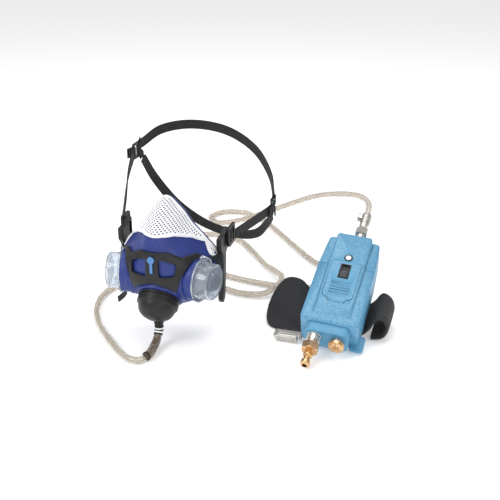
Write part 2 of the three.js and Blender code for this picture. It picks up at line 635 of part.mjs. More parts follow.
// the panel and its door are drawn level and then leaned about the foot of the panel's face
const onPanel = place(0, PANEL_FOOT, 0.3).multiply(new THREE.Matrix4().makeRotationX(PANEL_TILT * DEG))
  .multiply(place(0, -PANEL_FOOT, -PANEL_RISE));
const leaned = (solid) => solid.transform(onPanel.elements);
const DOOR_HALF = DOOR_WIDTH / 2;
const HINGE_Y = DOOR_BOTTOM_Y + HINGE_R;
const HINGE_Z = PANEL_RISE - 1.4;
const DOOR_FLOOR_Z = PANEL_RISE - DOOR_THICKNESS - 0.1;
const DOOR_BACK_Z = DOOR_FLOOR_Z + GAP;
const DOOR_FRONT_Z = DOOR_BACK_Z + DOOR_THICKNESS;

function doorShape(grow) {
  const x = DOOR_HALF + grow;
  const y0 = DOOR_BOTTOM_Y - grow;
  const shoulder = y0 + TONGUE;
  const half = HINGE_HALF + 1 + grow;
  const shape = new THREE.Shape();
  shape.moveTo(-half, y0);
  shape.lineTo(half, y0);
  shape.lineTo(half, shoulder);
  shape.quadraticCurveTo(x, shoulder, x, shoulder + 6);
  shape.lineTo(x, DOOR_TOP_Y + grow);
  shape.lineTo(-x, DOOR_TOP_Y + grow);
  shape.lineTo(-x, shoulder + 6);
  shape.quadraticCurveTo(-x, shoulder, -half, shoulder);
  return shape;
}

function barrel(x0, x1, radius, y, z) {
  const geometry = new THREE.CylinderGeometry(radius, radius, x1 - x0, 16);
  return toSolid(geometry.rotateZ(Math.PI / 2).translate((x0 + x1) / 2, y, z));
}

const screwSpots = [[-24, 8], [24, 8], [-22, 106], [22, 106]];
const alongY = (x, z) => place(x, 0, z);
const alongZ = (x, y) => new THREE.Matrix4().makeRotationX(Math.PI / 2).setPosition(x, y, 0);

function frontCover() {
  const wings = extruded(caseShape(0), CASE_SPLIT_Z + GAP, -1).add(extruded(caseShape(1), -1.2, 0));
  const half = PANEL_WIDTH / 2;
  const panel = extruded(roundedRect(-half, half, PANEL_FOOT - 3, PANEL_TOP_Y, 3), -6.5, PANEL_RISE - 1)
    .add(extruded(roundedRect(-half + 1, half - 1, PANEL_FOOT - 2, PANEL_TOP_Y - 1, 2.5), 0, PANEL_RISE));
  const slab = leaned(box(-half, half, PANEL_FOOT - 3, PANEL_TOP_Y, PANEL_RISE - PANEL_WALL, PANEL_RISE));
  const hollow = extruded(caseShape(CASE_WALL), CASE_SPLIT_Z - 1, -CASE_WALL).subtract(slab);
  const inner = half - CASE_WALL;
  const below = extruded(roundedRect(-inner, inner, PANEL_FOOT, PANEL_TOP_Y - 4, 2), -30,
    PANEL_RISE - PANEL_WALL);
  let cover = wings.add(leaned(panel)).subtract(hollow).subtract(leaned(below));
  const opening = roundedRect(-DOOR_HALF + LEDGE, DOOR_HALF - LEDGE, DOOR_BOTTOM_Y + 4,
    DOOR_TOP_Y - LEDGE, 2);
  for (const cut of [extruded(doorShape(DOOR_GAP), DOOR_FLOOR_Z, PANEL_RISE + 2), extruded(opening, -12,
    PANEL_RISE),
    barrel(-HINGE_HALF - 1, HINGE_HALF + 1, HINGE_R + DOOR_GAP, HINGE_Y, HINGE_Z),
    barrel(-HINGE_HALF - 4, HINGE_HALF + 4, HINGE_PIN_R + GAP, HINGE_Y, HINGE_Z),
    rod(2.8, -10, 10, 16, alongZ(0, INDICATOR_Y))]) {
    cover = cover.subtract(leaned(cut));
  }
  cover = cover.subtract(rod(OUTLET_STEM_R + GAP, 100, 130, 20, alongY(OUTLET_X, OUTLET_Z)));
  for (const x of [-PORT_X, PORT_X]) {
    cover = cover.subtract(rod(4.3, -2, 6, 20, alongY(x, PORT_Z)));
  }
  for (const side of [1, -1]) {
    const seam = [side * (half + 1), side * (HALF + 1)].sort((p, q) => p - q);
    cover = cover.subtract(box(...seam, SEAM_Y - 0.4, SEAM_Y + 0.4, -0.7, 1));
    const line = [side * half, side * (half + 0.9)].sort((p, q) => p - q);
    cover = cover.subtract(box(...line, PANEL_FOOT - 3, CASE_LENGTH - 3, -0.7, 0.4));
  }
  return cover;
}

// upright cylinder at a spot on the case, between two heights
const post = (r, x, y, z0, z1, sides) => toSolid(new THREE.CylinderGeometry(r, r, z1 - z0, sides)
  .rotateX(Math.PI / 2).translate(x, y, (z0 + z1) / 2));

function backCover() {
  let cover = extruded(caseShape(0), -CASE_DEPTH + 1.2, CASE_SPLIT_Z)
    .add(extruded(caseShape(1.2), -CASE_DEPTH, -CASE_DEPTH + 1.4))
    .subtract(extruded(caseShape(CASE_WALL), -CASE_DEPTH + CASE_WALL, CASE_SPLIT_Z + 1));
  for (const [x, y] of screwSpots) {
    cover = cover.add(post(4, x, y, -CASE_DEPTH + CASE_WALL - 0.5, CASE_SPLIT_Z - GAP, 16))
      .subtract(post(1.6, x, y, -CASE_DEPTH - 5, CASE_SPLIT_Z + 15, 12))
      .subtract(post(SCREW_R + GAP, x, y, -CASE_DEPTH - 2, -CASE_DEPTH + 2, 14));
  }
  const foot = extruded(roundedRect(22, 36, -7, 12, 3), -31.4, -28.4);
  return cover.add(foot.subtract(extruded(caseShape(CASE_WALL), -CASE_DEPTH, CASE_SPLIT_Z)));
}

function filterDoor() {
  const slab = extruded(doorShape(0), DOOR_BACK_Z, DOOR_FRONT_Z)
    .subtract(box(-30, 30, DOOR_BOTTOM_Y - 2, HINGE_Y, DOOR_BACK_Z - 2, DOOR_FRONT_Z + 2));
  let door = slab.add(barrel(-HINGE_HALF, HINGE_HALF, HINGE_R, HINGE_Y, HINGE_Z));
  const [bx, by] = [BEZEL_SIZE.x / 2 + GAP, BEZEL_SIZE.y / 2 + GAP];
  door = door.subtract(box(-bx, bx, BEZEL_Y - by, BEZEL_Y + by, 0, 20));
  for (let i = 0; i < 5; i += 1) {
    const y = 37 + i * 3.4;
    door = door.subtract(box(-10, 10, y, y + 1.4, DOOR_FRONT_Z - 1, DOOR_FRONT_Z + 1));
  }
  return leaned(door.subtract(barrel(-HINGE_HALF - 6, HINGE_HALF + 6, HINGE_PIN_R + GAP, HINGE_Y,
    HINGE_Z)));
}

function switchBezel() {
  const [x, y] = [BEZEL_SIZE.x / 2, BEZEL_SIZE.y / 2];
  const tray = extruded(roundedRect(-x, x, BEZEL_Y - y, BEZEL_Y + y, 1.5), DOOR_BACK_Z, DOOR_FRONT_Z + 0.4);
  const rim = 1.2;
  return leaned(tray.subtract(extruded(roundedRect(-x + rim, x - rim, BEZEL_Y - y + rim,
    BEZEL_Y + y - rim, 1),
    DOOR_BACK_Z + 1, DOOR_FRONT_Z + 2)));
}

function slideSwitch() {
  const y0 = BEZEL_Y - BEZEL_SIZE.y / 2 + 1.2 + GAP;
  let slider = extruded(roundedRect(-SLIDER_SIZE.x / 2, SLIDER_SIZE.x / 2, y0, y0 + SLIDER_SIZE.y, 1.6),
    DOOR_BACK_Z + 1 + GAP, DOOR_FRONT_Z + 1);
  for (let i = 0; i < 3; i += 1) {
    slider = slider.subtract(box(-5, 5, y0 + 1.4 + i * 1.9, y0 + 2.2 + i * 1.9, DOOR_FRONT_Z + 0.5,
      DOOR_FRONT_Z + 2));
  }
  return leaned(slider);
}

add(unit, 'front_cover', frontCover(), CASE_BLUE);
add(unit, 'back_cover', backCover(), CASE_BLUE);
add(unit, 'filter_door', filterDoor(), CASE_BLUE);
add(unit, 'door_pin', leaned(barrel(-HINGE_HALF - 3.6, HINGE_HALF + 3.6, HINGE_PIN_R, HINGE_Y, HINGE_Z)),
  STEEL);
add(unit, 'switch_bezel', switchBezel(), BLACK_PLASTIC);
add(unit, 'slide_switch', slideSwitch(), GREY_PLASTIC);
const indicator = (profile) => leaned(turned(profile, 20, alongZ(0, INDICATOR_Y)));
add(unit, 'indicator_ring', indicator([[3.3, PANEL_RISE + GAP], [4.4, PANEL_RISE + GAP],
  [4.4, PANEL_RISE + 0.9],
  [3.3, PANEL_RISE + 1.1], [3.3, PANEL_RISE + GAP]]), BLACK_PLASTIC);
add(unit, 'indicator_lens', indicator([[0, 0], [2.5, 0], [2.5, PANEL_RISE + GAP], [3, PANEL_RISE + GAP],
  [3, PANEL_RISE + 1], [2, PANEL_RISE + 1.6], [0, PANEL_RISE + 1.8]]), WHITE_PLASTIC);

// ---------------------------------------------------------------- inside the case
function regulatorBody() {
  return turned([[0, -33], [REGULATOR_R, -33], [REGULATOR_R, -10], [REGULATOR_R - 2, -10],
    [REGULATOR_R - 2, -29],
    [0, -29]], 28, alongZ(0, REGULATOR_Y));
}

class Helix extends THREE.Curve {
  constructor(radius, height, turns) {
    super();
    Object.assign(this, { radius, height, turns });
  }

  getPoint(t, target = new THREE.Vector3()) {
    const angle = t * this.turns * 2 * Math.PI;
    return target.set(this.radius * Math.cos(angle), this.radius * Math.sin(angle), this.height * t);
  }
}

function regulatorSpring() {
  const section = new THREE.Shape();
  section.absarc(0, 0, 0.6, 0, 2 * Math.PI, false);
  const geometry = new THREE.ExtrudeGeometry(section, {
    steps: 44, extrudePath: new Helix(6, 7, 4), curveSegments: 3, bevelEnabled: false,
  });
  return toSolid(geometry.translate(0, REGULATOR_Y, -18));
}

add(unit, 'regulator_body', regulatorBody(), NICKEL);
add(unit, 'regulator_diaphragm', turned([[0, -20], [11.6, -20], [11.6, -19.2], [0, -19.2]], 28,
  alongZ(0, REGULATOR_Y)), SOFT_RUBBER);
add(unit, 'regulator_spring', regulatorSpring(), STEEL);
add(unit, 'regulator_cap', turned([[0, -9.7], [REGULATOR_R, -9.7], [REGULATOR_R, -7.7], [0, -7.7]], 28,
  alongZ(0, REGULATOR_Y)), GREY_PLASTIC);
add(unit, 'filter_cartridge', turned([[0, 31], [FILTER_R - 2, 31], [FILTER_R, 33], [FILTER_R, 68],
  [FILTER_R - 2, 70],
  [0, 70]], 24, alongY(0, FILTER_Z)), WHITE_PLASTIC);
add(unit, 'filter_seal', turned([[4, 70.3], [8, 70.3], [8, 72.3], [4, 72.3], [4, 70.3]], 20, alongY(0,
  FILTER_Z)),
  SOFT_RUBBER);
const MANIFOLD_Y = 3;
add(unit, 'manifold', box(-20, 20, MANIFOLD_Y, MANIFOLD_Y + 10, -26, -6)
  .subtract(rod(4.3, 0, MANIFOLD_Y + 7, 18, alongY(-PORT_X, PORT_Z)))
  .subtract(rod(4.3, 0, MANIFOLD_Y + 7, 18, alongY(PORT_X, PORT_Z))), NICKEL);
for (const [i, [x, y]] of screwSpots.entries()) {
  const screw = toSolid(new THREE.CylinderGeometry(1.3, 1.3, 14, 10).rotateX(Math.PI / 2).translate(x, y,
    -CASE_DEPTH + 8))
    .add(toSolid(new THREE.CylinderGeometry(SCREW_R, SCREW_R, 1.4, 14).rotateX(Math.PI / 2)
      .translate(x, y, -CASE_DEPTH + 1)));
  add(unit, `case_screw_${i + 1}`, screw, STEEL);
}

// ---------------------------------------------------------------- connections below the case
const COLLAR_END = -COLLAR_DROP;
function baseCollar() {
  const shape = roundedRect(-22, 22, -28, -3, 6);
  const geometry = new THREE.ExtrudeGeometry(shape, { depth: COLLAR_DROP - GAP, bevelEnabled: false,
    curveSegments: 3 });
  const collar = toSolid(geometry.rotateX(Math.PI / 2).translate(0, -GAP, 0));
  return collar.subtract(rod(4.3, COLLAR_END - 1, 1, 20, alongY(-PORT_X, PORT_Z)))
    .subtract(rod(4.3, COLLAR_END - 1, 1, 20, alongY(PORT_X, PORT_Z)));
}

const NUT_TOP = COLLAR_END - GAP;
const NUT_END = NUT_TOP - NUT_LENGTH;
const HEX_END = NUT_END - GAP - PLUG_HEX_LENGTH;
const PLUG_END = HEX_END - PLUG_LENGTH;
function inletNut() {
  const body = turned([[0, NUT_END], [NUT_R - 0.8, NUT_END], [NUT_R, NUT_END + 0.8], [NUT_R, NUT_TOP],
    [4, NUT_TOP],
    [4, MANIFOLD_Y + 6], [0, MANIFOLD_Y + 6]], 24, alongY(-PORT_X, PORT_Z));
  return body.subtract(rod(2.2, NUT_END - 1, MANIFOLD_Y + 8, 12, alongY(-PORT_X, PORT_Z)));
}

function inletPlug() {
  const tip = turned([[0, PLUG_END], [PLUG_R - 1, PLUG_END], [PLUG_R, PLUG_END + 1.2],
    [PLUG_R, PLUG_END + 6],
    [PLUG_R - 1.5, PLUG_END + 7.6], [PLUG_R - 1.5, PLUG_END + 10], [PLUG_R, PLUG_END + 11.6],
    [PLUG_R, PLUG_END + 13],
    [PLUG_R - 0.8, PLUG_END + 14], [PLUG_R - 0.8, HEX_END + 0.5], [0, HEX_END + 0.5]], 24, alongY(-PORT_X,
    PORT_Z));
  return tip.add(hexagon(PLUG_HEX, HEX_END, NUT_END - GAP, alongY(-PORT_X, PORT_Z)))
    .subtract(rod(PLUG_BORE_R, PLUG_END - 1, NUT_END + 1, 16, alongY(-PORT_X, PORT_Z)));
}

const KNOB_TOP = NUT_TOP - GLAND_LENGTH - GAP;
const KNOB_END = KNOB_TOP - KNOB_LENGTH;
function knobGland() {
  return turned([[NEEDLE_R + GAP, KNOB_TOP + GAP], [GLAND_R, KNOB_TOP + GAP], [GLAND_R, NUT_TOP],
    [4, NUT_TOP],
    [4, MANIFOLD_Y + 6], [NEEDLE_R + GAP, MANIFOLD_Y + 6], [NEEDLE_R + GAP, KNOB_TOP + GAP]], 24,
    alongY(PORT_X, PORT_Z));
}

function flowKnob() {
  const knob = turned([[0, KNOB_END], [KNOB_R - 1.6, KNOB_END], [KNOB_R, KNOB_END + 1.6],
    [KNOB_R, KNOB_TOP - 0.6],
    [KNOB_R - 0.6, KNOB_TOP], [NEEDLE_R + GAP, KNOB_TOP], [NEEDLE_R + GAP, KNOB_END + 2],
    [0, KNOB_END + 2]],
  28, alongY(PORT_X, PORT_Z));
  return knob.subtract(box(PORT_X - 0.5, PORT_X + 0.5, KNOB_END - 1, KNOB_END + 0.7, PORT_Z + 2,
    PORT_Z + 7.4));
}

add(unit, 'base_collar', baseCollar(), CASE_BLUE);
add(unit, 'inlet_nut', inletNut(), NICKEL);
add(unit, 'inlet_plug', inletPlug(), BRASS);
add(unit, 'knob_gland', knobGland(), NICKEL);
add(unit, 'flow_knob', flowKnob(), BRASS);
add(unit, 'flow_needle', turned([[0, KNOB_TOP - 2], [NEEDLE_R, KNOB_TOP - 2], [NEEDLE_R, MANIFOLD_Y + 4],
  [0, MANIFOLD_Y + 5.6]], 16, alongY(PORT_X, PORT_Z)), STEEL);

// ---------------------------------------------------------------- outlet and hose clamp
const OUTLET_HEX_Y = 129;
const CLAMP_Y = 147;
const outlet = alongY(OUTLET_X, OUTLET_Z);
function outletFitting() {
  return turned([[0, 112], [OUTLET_STEM_R, 112], [OUTLET_STEM_R, OUTLET_HEX_Y],
    [OUTLET_BARB_R, OUTLET_HEX_Y],
    [OUTLET_BARB_R, OUTLET_END_Y - 2], [0, OUTLET_END_Y - 2]], 20, outlet)
    .subtract(rod(1.6, 110, OUTLET_END_Y, 12, outlet));
}

function outletNut() {
  return hexagon(OUTLET_HEX, OUTLET_HEX_Y + GAP, OUTLET_HEX_Y + 9, outlet)
    .add(rod(5.2, OUTLET_HEX_Y + 8.5, CLAMP_Y - GAP, 20, outlet))
    .subtract(rod(OUTLET_BARB_R + GAP, OUTLET_HEX_Y - 1, CLAMP_Y, 20, outlet));
}

function hoseClamp() {
  const lug = toSolid(new THREE.BoxGeometry(5, 7, 6).translate(OUTLET_X - 6.2, CLAMP_Y + 7, OUTLET_Z + 3));
  const band = rod(5.4, CLAMP_Y, OUTLET_END_Y, 24, outlet).add(lug)
    .subtract(rod(OUTLET_BARB_R + GAP, CLAMP_Y - 1, OUTLET_END_Y + 1, 20, outlet));
  const hole = toSolid(new THREE.CylinderGeometry(1.5, 1.5, 12, 12)
    .translate(OUTLET_X - 7, CLAMP_Y + 7, OUTLET_Z + 4));
  return band.subtract(hole);
}

add(unit, 'outlet_fitting', outletFitting(), NICKEL);
add(unit, 'outlet_nut', outletNut(), NICKEL);
add(unit, 'hose_clamp', hoseClamp(), STEEL);
add(unit, 'clamp_screw', toSolid(new THREE.CylinderGeometry(1.2, 1.2, 9, 12)
  .translate(OUTLET_X - 7, CLAMP_Y + 7, OUTLET_Z + 4)), STEEL);

// ---------------------------------------------------------------- belt plate and belt
add(unit, 'belt_plate', extruded(roundedRect(-27, 27, 16, 78, 5), -CASE_DEPTH - GAP - 2.4,
  -CASE_DEPTH - GAP)
  .subtract(box(-24, -19, 22, 72, -50, -30)).subtract(box(19, 24, 22, 72, -50, -30)), GREY_PLASTIC);

function belt() {
  const far = [[112, 9, -97.4], [97, 18, -97.4], [90, 42, -93], [95, 58, -76], [107, 62, -62],
    [122, 62, -62],
    [134, 60, -72], [146, 58, -80], [170, 58, -83], [194, 58, -83], [204, 58, -76], [213, 58, -65],
    [221, 58, -70],
    [224, 58, -82], [218, 58, -94], [206, 58, -97.4]];
  const near = [[137, 7, -97.4], [136, 10, -97.4], [135, 12.5, -96.6], [135, 14, -95], [136, 16, -94.4],
    [138, 17, -94.4],
    [142, 17, -94.8], [150, 16, -95.4], [170, 15, -95.6], [194, 15, -95.6], [203, 15, -88], [212, 15, -74],
    [219, 15, -75], [223, 15, -84], [218, 15, -94], [206, 15, -97.4]];
  return ruledBand(far, near, BELT_THICKNESS, 44);
}
add(root, 'belt', belt(), BLACK_WEBBING);

const BUCKLE_SPOT = new THREE.Vector3(124, -3.6, -96.6);
function rollerBuckle() {
  const outer = roundedRect(-15, 15, -6, 9, 3);
  outer.holes.push(roundedRect(-12, 12, -4.8, 6, 1.5));
  const geometry = new THREE.ExtrudeGeometry(outer, { depth: 2.2, bevelEnabled: false, curveSegments: 3 });
  return toSolid(geometry.translate(BUCKLE_SPOT.x, BUCKLE_SPOT.y, BUCKLE_SPOT.z));
}

function buckleRoller() {
  const lying = new THREE.Matrix4().makeRotationZ(Math.PI / 2)
    .setPosition(BUCKLE_SPOT.x, BUCKLE_SPOT.y - 5.4, BUCKLE_SPOT.z + 1.1);
  const half = ROLLER_LENGTH / 2;
  return turned([[1.6, -half], [ROLLER_R - 0.8, -half], [ROLLER_R, -half + 0.8], [ROLLER_R, half - 0.8],
    [ROLLER_R - 0.8, half], [1.6, half], [1.6, -half]], 20, lying);
}
add(root, 'belt_buckle', rollerBuckle(), STEEL);
add(root, 'buckle_roller', buckleRoller(), STEEL);

export default root;
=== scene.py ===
"""Looks and finishes of an airline half-mask respirator with a belt-worn regulator unit.

The solid frame gives every size and place. Each class below builds one sub-assembly around it
and dresses it in finishes made from shader nodes.
"""

from __future__ import annotations

import json
import logging
import math
from dataclasses import dataclass, field
from enum import Enum
from typing import Callable, Iterable, Sequence

import bmesh
import bpy
from mathutils import Matrix, Vector

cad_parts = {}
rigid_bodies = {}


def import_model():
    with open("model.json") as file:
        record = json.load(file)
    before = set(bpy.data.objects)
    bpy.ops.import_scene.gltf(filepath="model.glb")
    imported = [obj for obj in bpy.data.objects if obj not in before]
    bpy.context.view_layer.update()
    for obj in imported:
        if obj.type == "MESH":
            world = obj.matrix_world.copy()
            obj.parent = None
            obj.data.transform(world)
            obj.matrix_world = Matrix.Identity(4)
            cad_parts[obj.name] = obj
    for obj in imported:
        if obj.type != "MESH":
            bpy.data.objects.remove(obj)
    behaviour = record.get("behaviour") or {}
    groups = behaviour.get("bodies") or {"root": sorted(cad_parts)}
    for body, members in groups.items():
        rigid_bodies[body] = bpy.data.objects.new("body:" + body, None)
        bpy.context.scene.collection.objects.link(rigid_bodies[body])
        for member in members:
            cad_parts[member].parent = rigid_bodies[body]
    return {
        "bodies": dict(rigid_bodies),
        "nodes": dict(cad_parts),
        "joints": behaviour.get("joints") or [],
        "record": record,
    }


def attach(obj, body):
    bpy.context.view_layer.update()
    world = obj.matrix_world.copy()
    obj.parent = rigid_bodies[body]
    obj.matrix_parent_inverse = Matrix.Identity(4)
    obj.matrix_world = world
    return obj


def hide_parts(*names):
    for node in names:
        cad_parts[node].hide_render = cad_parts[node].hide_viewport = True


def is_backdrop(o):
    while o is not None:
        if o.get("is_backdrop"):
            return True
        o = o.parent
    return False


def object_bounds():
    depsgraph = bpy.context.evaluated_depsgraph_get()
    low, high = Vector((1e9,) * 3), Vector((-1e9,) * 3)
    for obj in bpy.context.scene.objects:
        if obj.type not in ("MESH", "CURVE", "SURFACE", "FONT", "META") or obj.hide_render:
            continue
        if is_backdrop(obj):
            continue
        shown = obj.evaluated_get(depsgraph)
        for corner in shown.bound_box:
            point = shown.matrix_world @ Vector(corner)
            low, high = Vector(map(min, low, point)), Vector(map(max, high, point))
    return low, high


LOG = logging.getLogger("respirator")
MM = 0.001
GAP = 0.3
ROOT = "mask_and_unit"
Pair = tuple[float, float]
Triple = tuple[float, float, float]


class Smoothing(Enum):
    """How faces of a piece are shaded across their edges, as an angle in degrees."""

    CRISP = 22.0
    MACHINED = 32.0
    MOULDED = 48.0
    SOFT = 180.0


class Cut(Enum):
    """How one solid acts on another."""

    JOIN = "UNION"
    REMOVE = "DIFFERENCE"
    KEEP = "INTERSECT"


# ------------------------------------------------------------------ places and curves


@dataclass(frozen=True)
class Place:
    """A local frame in millimetres: an origin and three unit axes."""

    origin: Vector
    x: Vector
    y: Vector
    z: Vector

    def at(self, x: float, y: float, z: float) -> Vector:
        """Point of the row frame for local coordinates.

        Args:
            x: Distance along the local x axis.
            y: Distance along the local y axis.
            z: Distance along the local z axis.

        Returns:
            The point in millimetres.
        """
        return self.origin + self.x * x + self.y * y + self.z * z

    def moved(self, x: float, y: float, z: float) -> "Place":
        """The same axes at another local point."""
        return Place(self.at(x, y, z), self.x, self.y, self.z)

    def matrix(self) -> Matrix:
        """Matrix that carries metres of the local frame to metres of the row frame."""
        turn = Matrix((self.x, self.y, self.z)).transposed().to_4x4()
        return Matrix.Translation(self.origin * MM) @ turn


def facing(origin: Vector, direction: Vector) -> Place:
    """Place whose y axis points along a direction.

    Args:
        origin: Point of the row frame, in millimetres.
        direction: Where the local y axis points.

    Returns:
        The place, turned by the shortest rotation from the row frame.
    """
    turn = Vector((0, 1, 0)).rotation_difference(direction.normalized())
    return Place(origin, turn @ Vector((1, 0, 0)), turn @ Vector((0, 1, 0)), turn @ Vector((0, 0, 1)))


UNIT = Place(
    Vector((169, -21, -64)),
    Vector((0.9973075, -0.0321252, -0.0659217)),
    Vector((0.0552885, 0.9199441, 0.3881315)),
    Vector((0.0481755, -0.3907311, 0.9192433)),
)


def smooth_path(points: Sequence[Sequence[float]], per_span: int, power: float = 0.25) -> list[Vector]:
    """Smooth open curve through points.

    Args:
        points: Points in millimetres.
        per_span: Steps between two neighbouring points.
        power: Spacing exponent on squared distance, 0.25 keeps tight bends round.

    Returns:
        Points along the curve, both ends included.
    """
    knots = [Vector(p) for p in points]
    knots = [knots[0] * 2 - knots[1], *knots, knots[-1] * 2 - knots[-2]]
    out: list[Vector] = []
    for p0, p1, p2, p3 in zip(knots, knots[1:], knots[2:], knots[3:]):
        d0, d1, d2 = ((b - a).length_squared ** power for a, b in ((p0, p1), (p1, p2), (p2, p3)))
        start = ((p1 - p0) / d0 - (p2 - p0) / (d0 + d1) + (p2 - p1) / d1) * d1
        end = ((p2 - p1) / d1 - (p3 - p1) / (d1 + d2) + (p3 - p2) / d2) * d1
        for step in range(per_span):
            t = step / per_span
            a, b = 2 * t**3 - 3 * t**2 + 1, t**3 - 2 * t**2 + t
            c, d = 3 * t**2 - 2 * t**3, t**3 - t**2
            out.append(p1 * a + start * b + p2 * c + end * d)
    out.append(knots[-2])
    return out


def evenly(points: Sequence[Vector], count: int) -> list[Vector]:
    """Resample a line into equal steps.

    Args:
        points: The line's points.
        count: Number of points wanted.

    Returns:
        Points at equal distances, both ends included.
    """
    marks = [0.0]
    for a, b in zip(points, points[1:]):
        marks.append(marks[-1] + (b - a).length)
    out, k = [], 0
    for i in range(count):
        want = marks[-1] * i / (count - 1)
        while k + 2 < len(marks) and marks[k + 1] < want:
            k += 1
        share = (want - marks[k]) / max(marks[k + 1] - marks[k], 1e-9)
        out.append(points[k].lerp(points[k + 1], min(max(share, 0.0), 1.0)))
    return out


def run_length(points: Sequence[Vector]) -> float:
    """Length of a line of points."""
    return sum((b - a).length for a, b in zip(points, points[1:]))


def circle(radius: float, sides: int, phase: float = 0.0) -> list[Pair]:
    """Corners of a round section."""
    turns = (2 * math.pi * i / sides + phase for i in range(sides))
    return [(radius * math.cos(a), radius * math.sin(a)) for a in turns]


def rounded(x0: float, x1: float, y0: float, y1: float, radius: float, steps: int = 5) -> list[Pair]:
    """Rectangle with round corners, going round once.

    Args:
        x0: Lowest x.
        x1: Highest x.
        y0: Lowest y.
        y1: Highest y.
        radius: Corner radius.
        steps: Steps in each corner.

    Returns:
        The outline's points.
    """
    out: list[Pair] = []
    corners = ((x1 - radius, y0 + radius, -90), (x1 - radius, y1 - radius, 0),
               (x0 + radius, y1 - radius, 90), (x0 + radius, y0 + radius, 180))
    for cx, cy, start in corners:
        for i in range(steps + 1):
            a = math.radians(start + 90 * i / steps)
            out.append((cx + radius * math.cos(a), cy + radius * math.sin(a)))
    return out


# ------------------------------------------------------------------ mesh building


class Shape:
    """Points, faces and map places of one piece, in millimetres."""

    def __init__(self) -> None:
        """Start with nothing."""
        self.points: list[Vector] = []
        self.faces: list[tuple[int, ...]] = []
        self.maps: list[tuple[Pair, ...]] = []
        self.slots: list[int] = []
        self.slot = 0

    def face(self, corners: Sequence[int], places: Sequence[Pair] | None = None) -> None:
        """Add one face with its map places."""
        self.faces.append(tuple(corners))
        self.maps.append(tuple(places) if places else tuple((0.0, 0.0) for _ in corners))
        self.slots.append(self.slot)

    def rings(self, rings: Sequence[Sequence[Vector]], closed: bool = False) -> "Shape":
        """Skin over closed rings with equally many corners.

        Args:
            rings: The rings in order; a ring of one point is a pole.
            closed: True where the last ring joins the first.

        Returns:
            This shape.
        """
        starts = []
        for ring in rings:
            starts.append(len(self.points))
            self.points.extend(ring)
        along = [0.0]
        for a, b in zip(rings, rings[1:]):
            along.append(along[-1] + (a[0] - b[0]).length)
        pairs = list(zip(range(len(rings)), range(1, len(rings))))
        if closed:
            pairs.append((len(rings) - 1, 0))
            along.append(along[-1] + (rings[-1][0] - rings[0][0]).length)
        for i, k in pairs:
            low, high = rings[i], rings[k]
            u0, u1 = along[i], along[i + 1]
            count = max(len(low), len(high))
            wide = low if len(low) > 1 else high
            girth = [0.0]
            for j in range(count):
                girth.append(girth[-1] + (wide[j] - wide[(j + 1) % count]).length)
            for j in range(count):
                n = (j + 1) % count
                a, b = starts[i] + (j if len(low) > 1 else 0), starts[i] + (n if len(low) > 1 else 0)
                c, d = starts[k] + (n if len(high) > 1 else 0), starts[k] + (j if len(high) > 1 else 0)
                uv = [(u0, girth[j]), (u0, girth[j + 1]), (u1, girth[j + 1]), (u1, girth[j])]
                if a == b:
                    self.face((a, c, d), uv[1:])
                elif c == d:
                    self.face((a, b, c), uv[:3])
                else:
                    self.face((a, b, c, d), uv)
        return self

    def capped(self, rings: Sequence[Sequence[Vector]]) -> "Shape":
        """Skin over rings with a flat face at each end."""
        first = len(self.points)
        self.rings(rings)
        count = len(rings[0])
        last = first + (len(rings) - 1) * count
        self.face(list(range(first + count - 1, first - 1, -1)))
        self.face(list(range(last, last + count)))
        return self

    def turned(self, profile: Sequence[Pair], place: Place, segments: int = 96) -> "Shape":
        """Turn a closed profile about a place's y axis.

        Args:
            profile: Points as (radius, distance along the axis); it starts and ends on the axis,
                or closes on itself.
            place: Where the axis is.
            segments: Steps round the axis.

        Returns:
            This shape.
        """
        points = list(profile)
        loop = points[0] == points[-1] and points[0][0] > 0
        if loop:
            points = points[:-1]
        rings = []
        for r, y in points:
            if r <= 1e-6:
                rings.append([place.at(0, y, 0)])
                continue
            angles = (2 * math.pi * j / segments for j in range(segments))
            rings.append([place.at(r * math.sin(a), y, r * math.cos(a)) for a in angles])
        return self.rings(rings, closed=loop)

    def extruded(self, outline: Sequence[Pair], low: float, high: float, place: Place) -> "Shape":
        """Prism over an outline in a place's x-y plane, from low to high along z."""
        return self.capped([[place.at(x, y, z) for x, y in outline] for z in (low, high)])

    def swept(self, centres: Sequence[Vector], section: Sequence[Pair], ups: Sequence[Vector],
              caps: bool = True) -> "Shape":
        """Sweep a section along a line.

        Args:
            centres: The line.
            section: Corners as (across, up).
            ups: The up direction at each point of the line.
            caps: True for flat ends.

        Returns:
            This shape.
        """
        rings = []
        for i, centre in enumerate(centres):
            ahead = (centres[min(i + 1, len(centres) - 1)] - centres[max(i - 1, 0)]).normalized()
            up = (ups[i] - ahead * ups[i].dot(ahead)).normalized()
            across = ahead.cross(up)
            rings.append([centre + across * a + up * b for a, b in section])
        return self.capped(rings) if caps else self.rings(rings)

    def piece(self, name: str, dress: Sequence[bpy.types.Material],
              smoothing: Smoothing = Smoothing.MACHINED) -> bpy.types.Object:
        """Make the object.

        Args:
            name: The piece's name.
            dress: Its materials, in slot order.
            smoothing: How its edges are shaded.

        Returns:
            The linked object, in metres.
        """
        mesh = bpy.data.meshes.new(name)
        mesh.from_pydata([tuple(p * MM) for p in self.points], [], self.faces)
        layer = mesh.uv_layers.new(name="UVMap")
        flat = [c for face in self.maps for pair in face for c in pair]
        layer.data.foreach_set("uv", flat)
        mesh.polygons.foreach_set("material_index", self.slots)
        return finished(mesh, name, dress, smoothing)


def recalculated(mesh: bpy.types.Mesh, merge: float = 1e-6) -> None:
    """Merge doubled points and point all faces outwards."""
    work = bmesh.new()
    work.from_mesh(mesh)
    bmesh.ops.remove_doubles(work, verts=work.verts, dist=merge)
    bmesh.ops.recalc_face_normals(work, faces=work.faces)
    work.to_mesh(mesh)
    work.free()


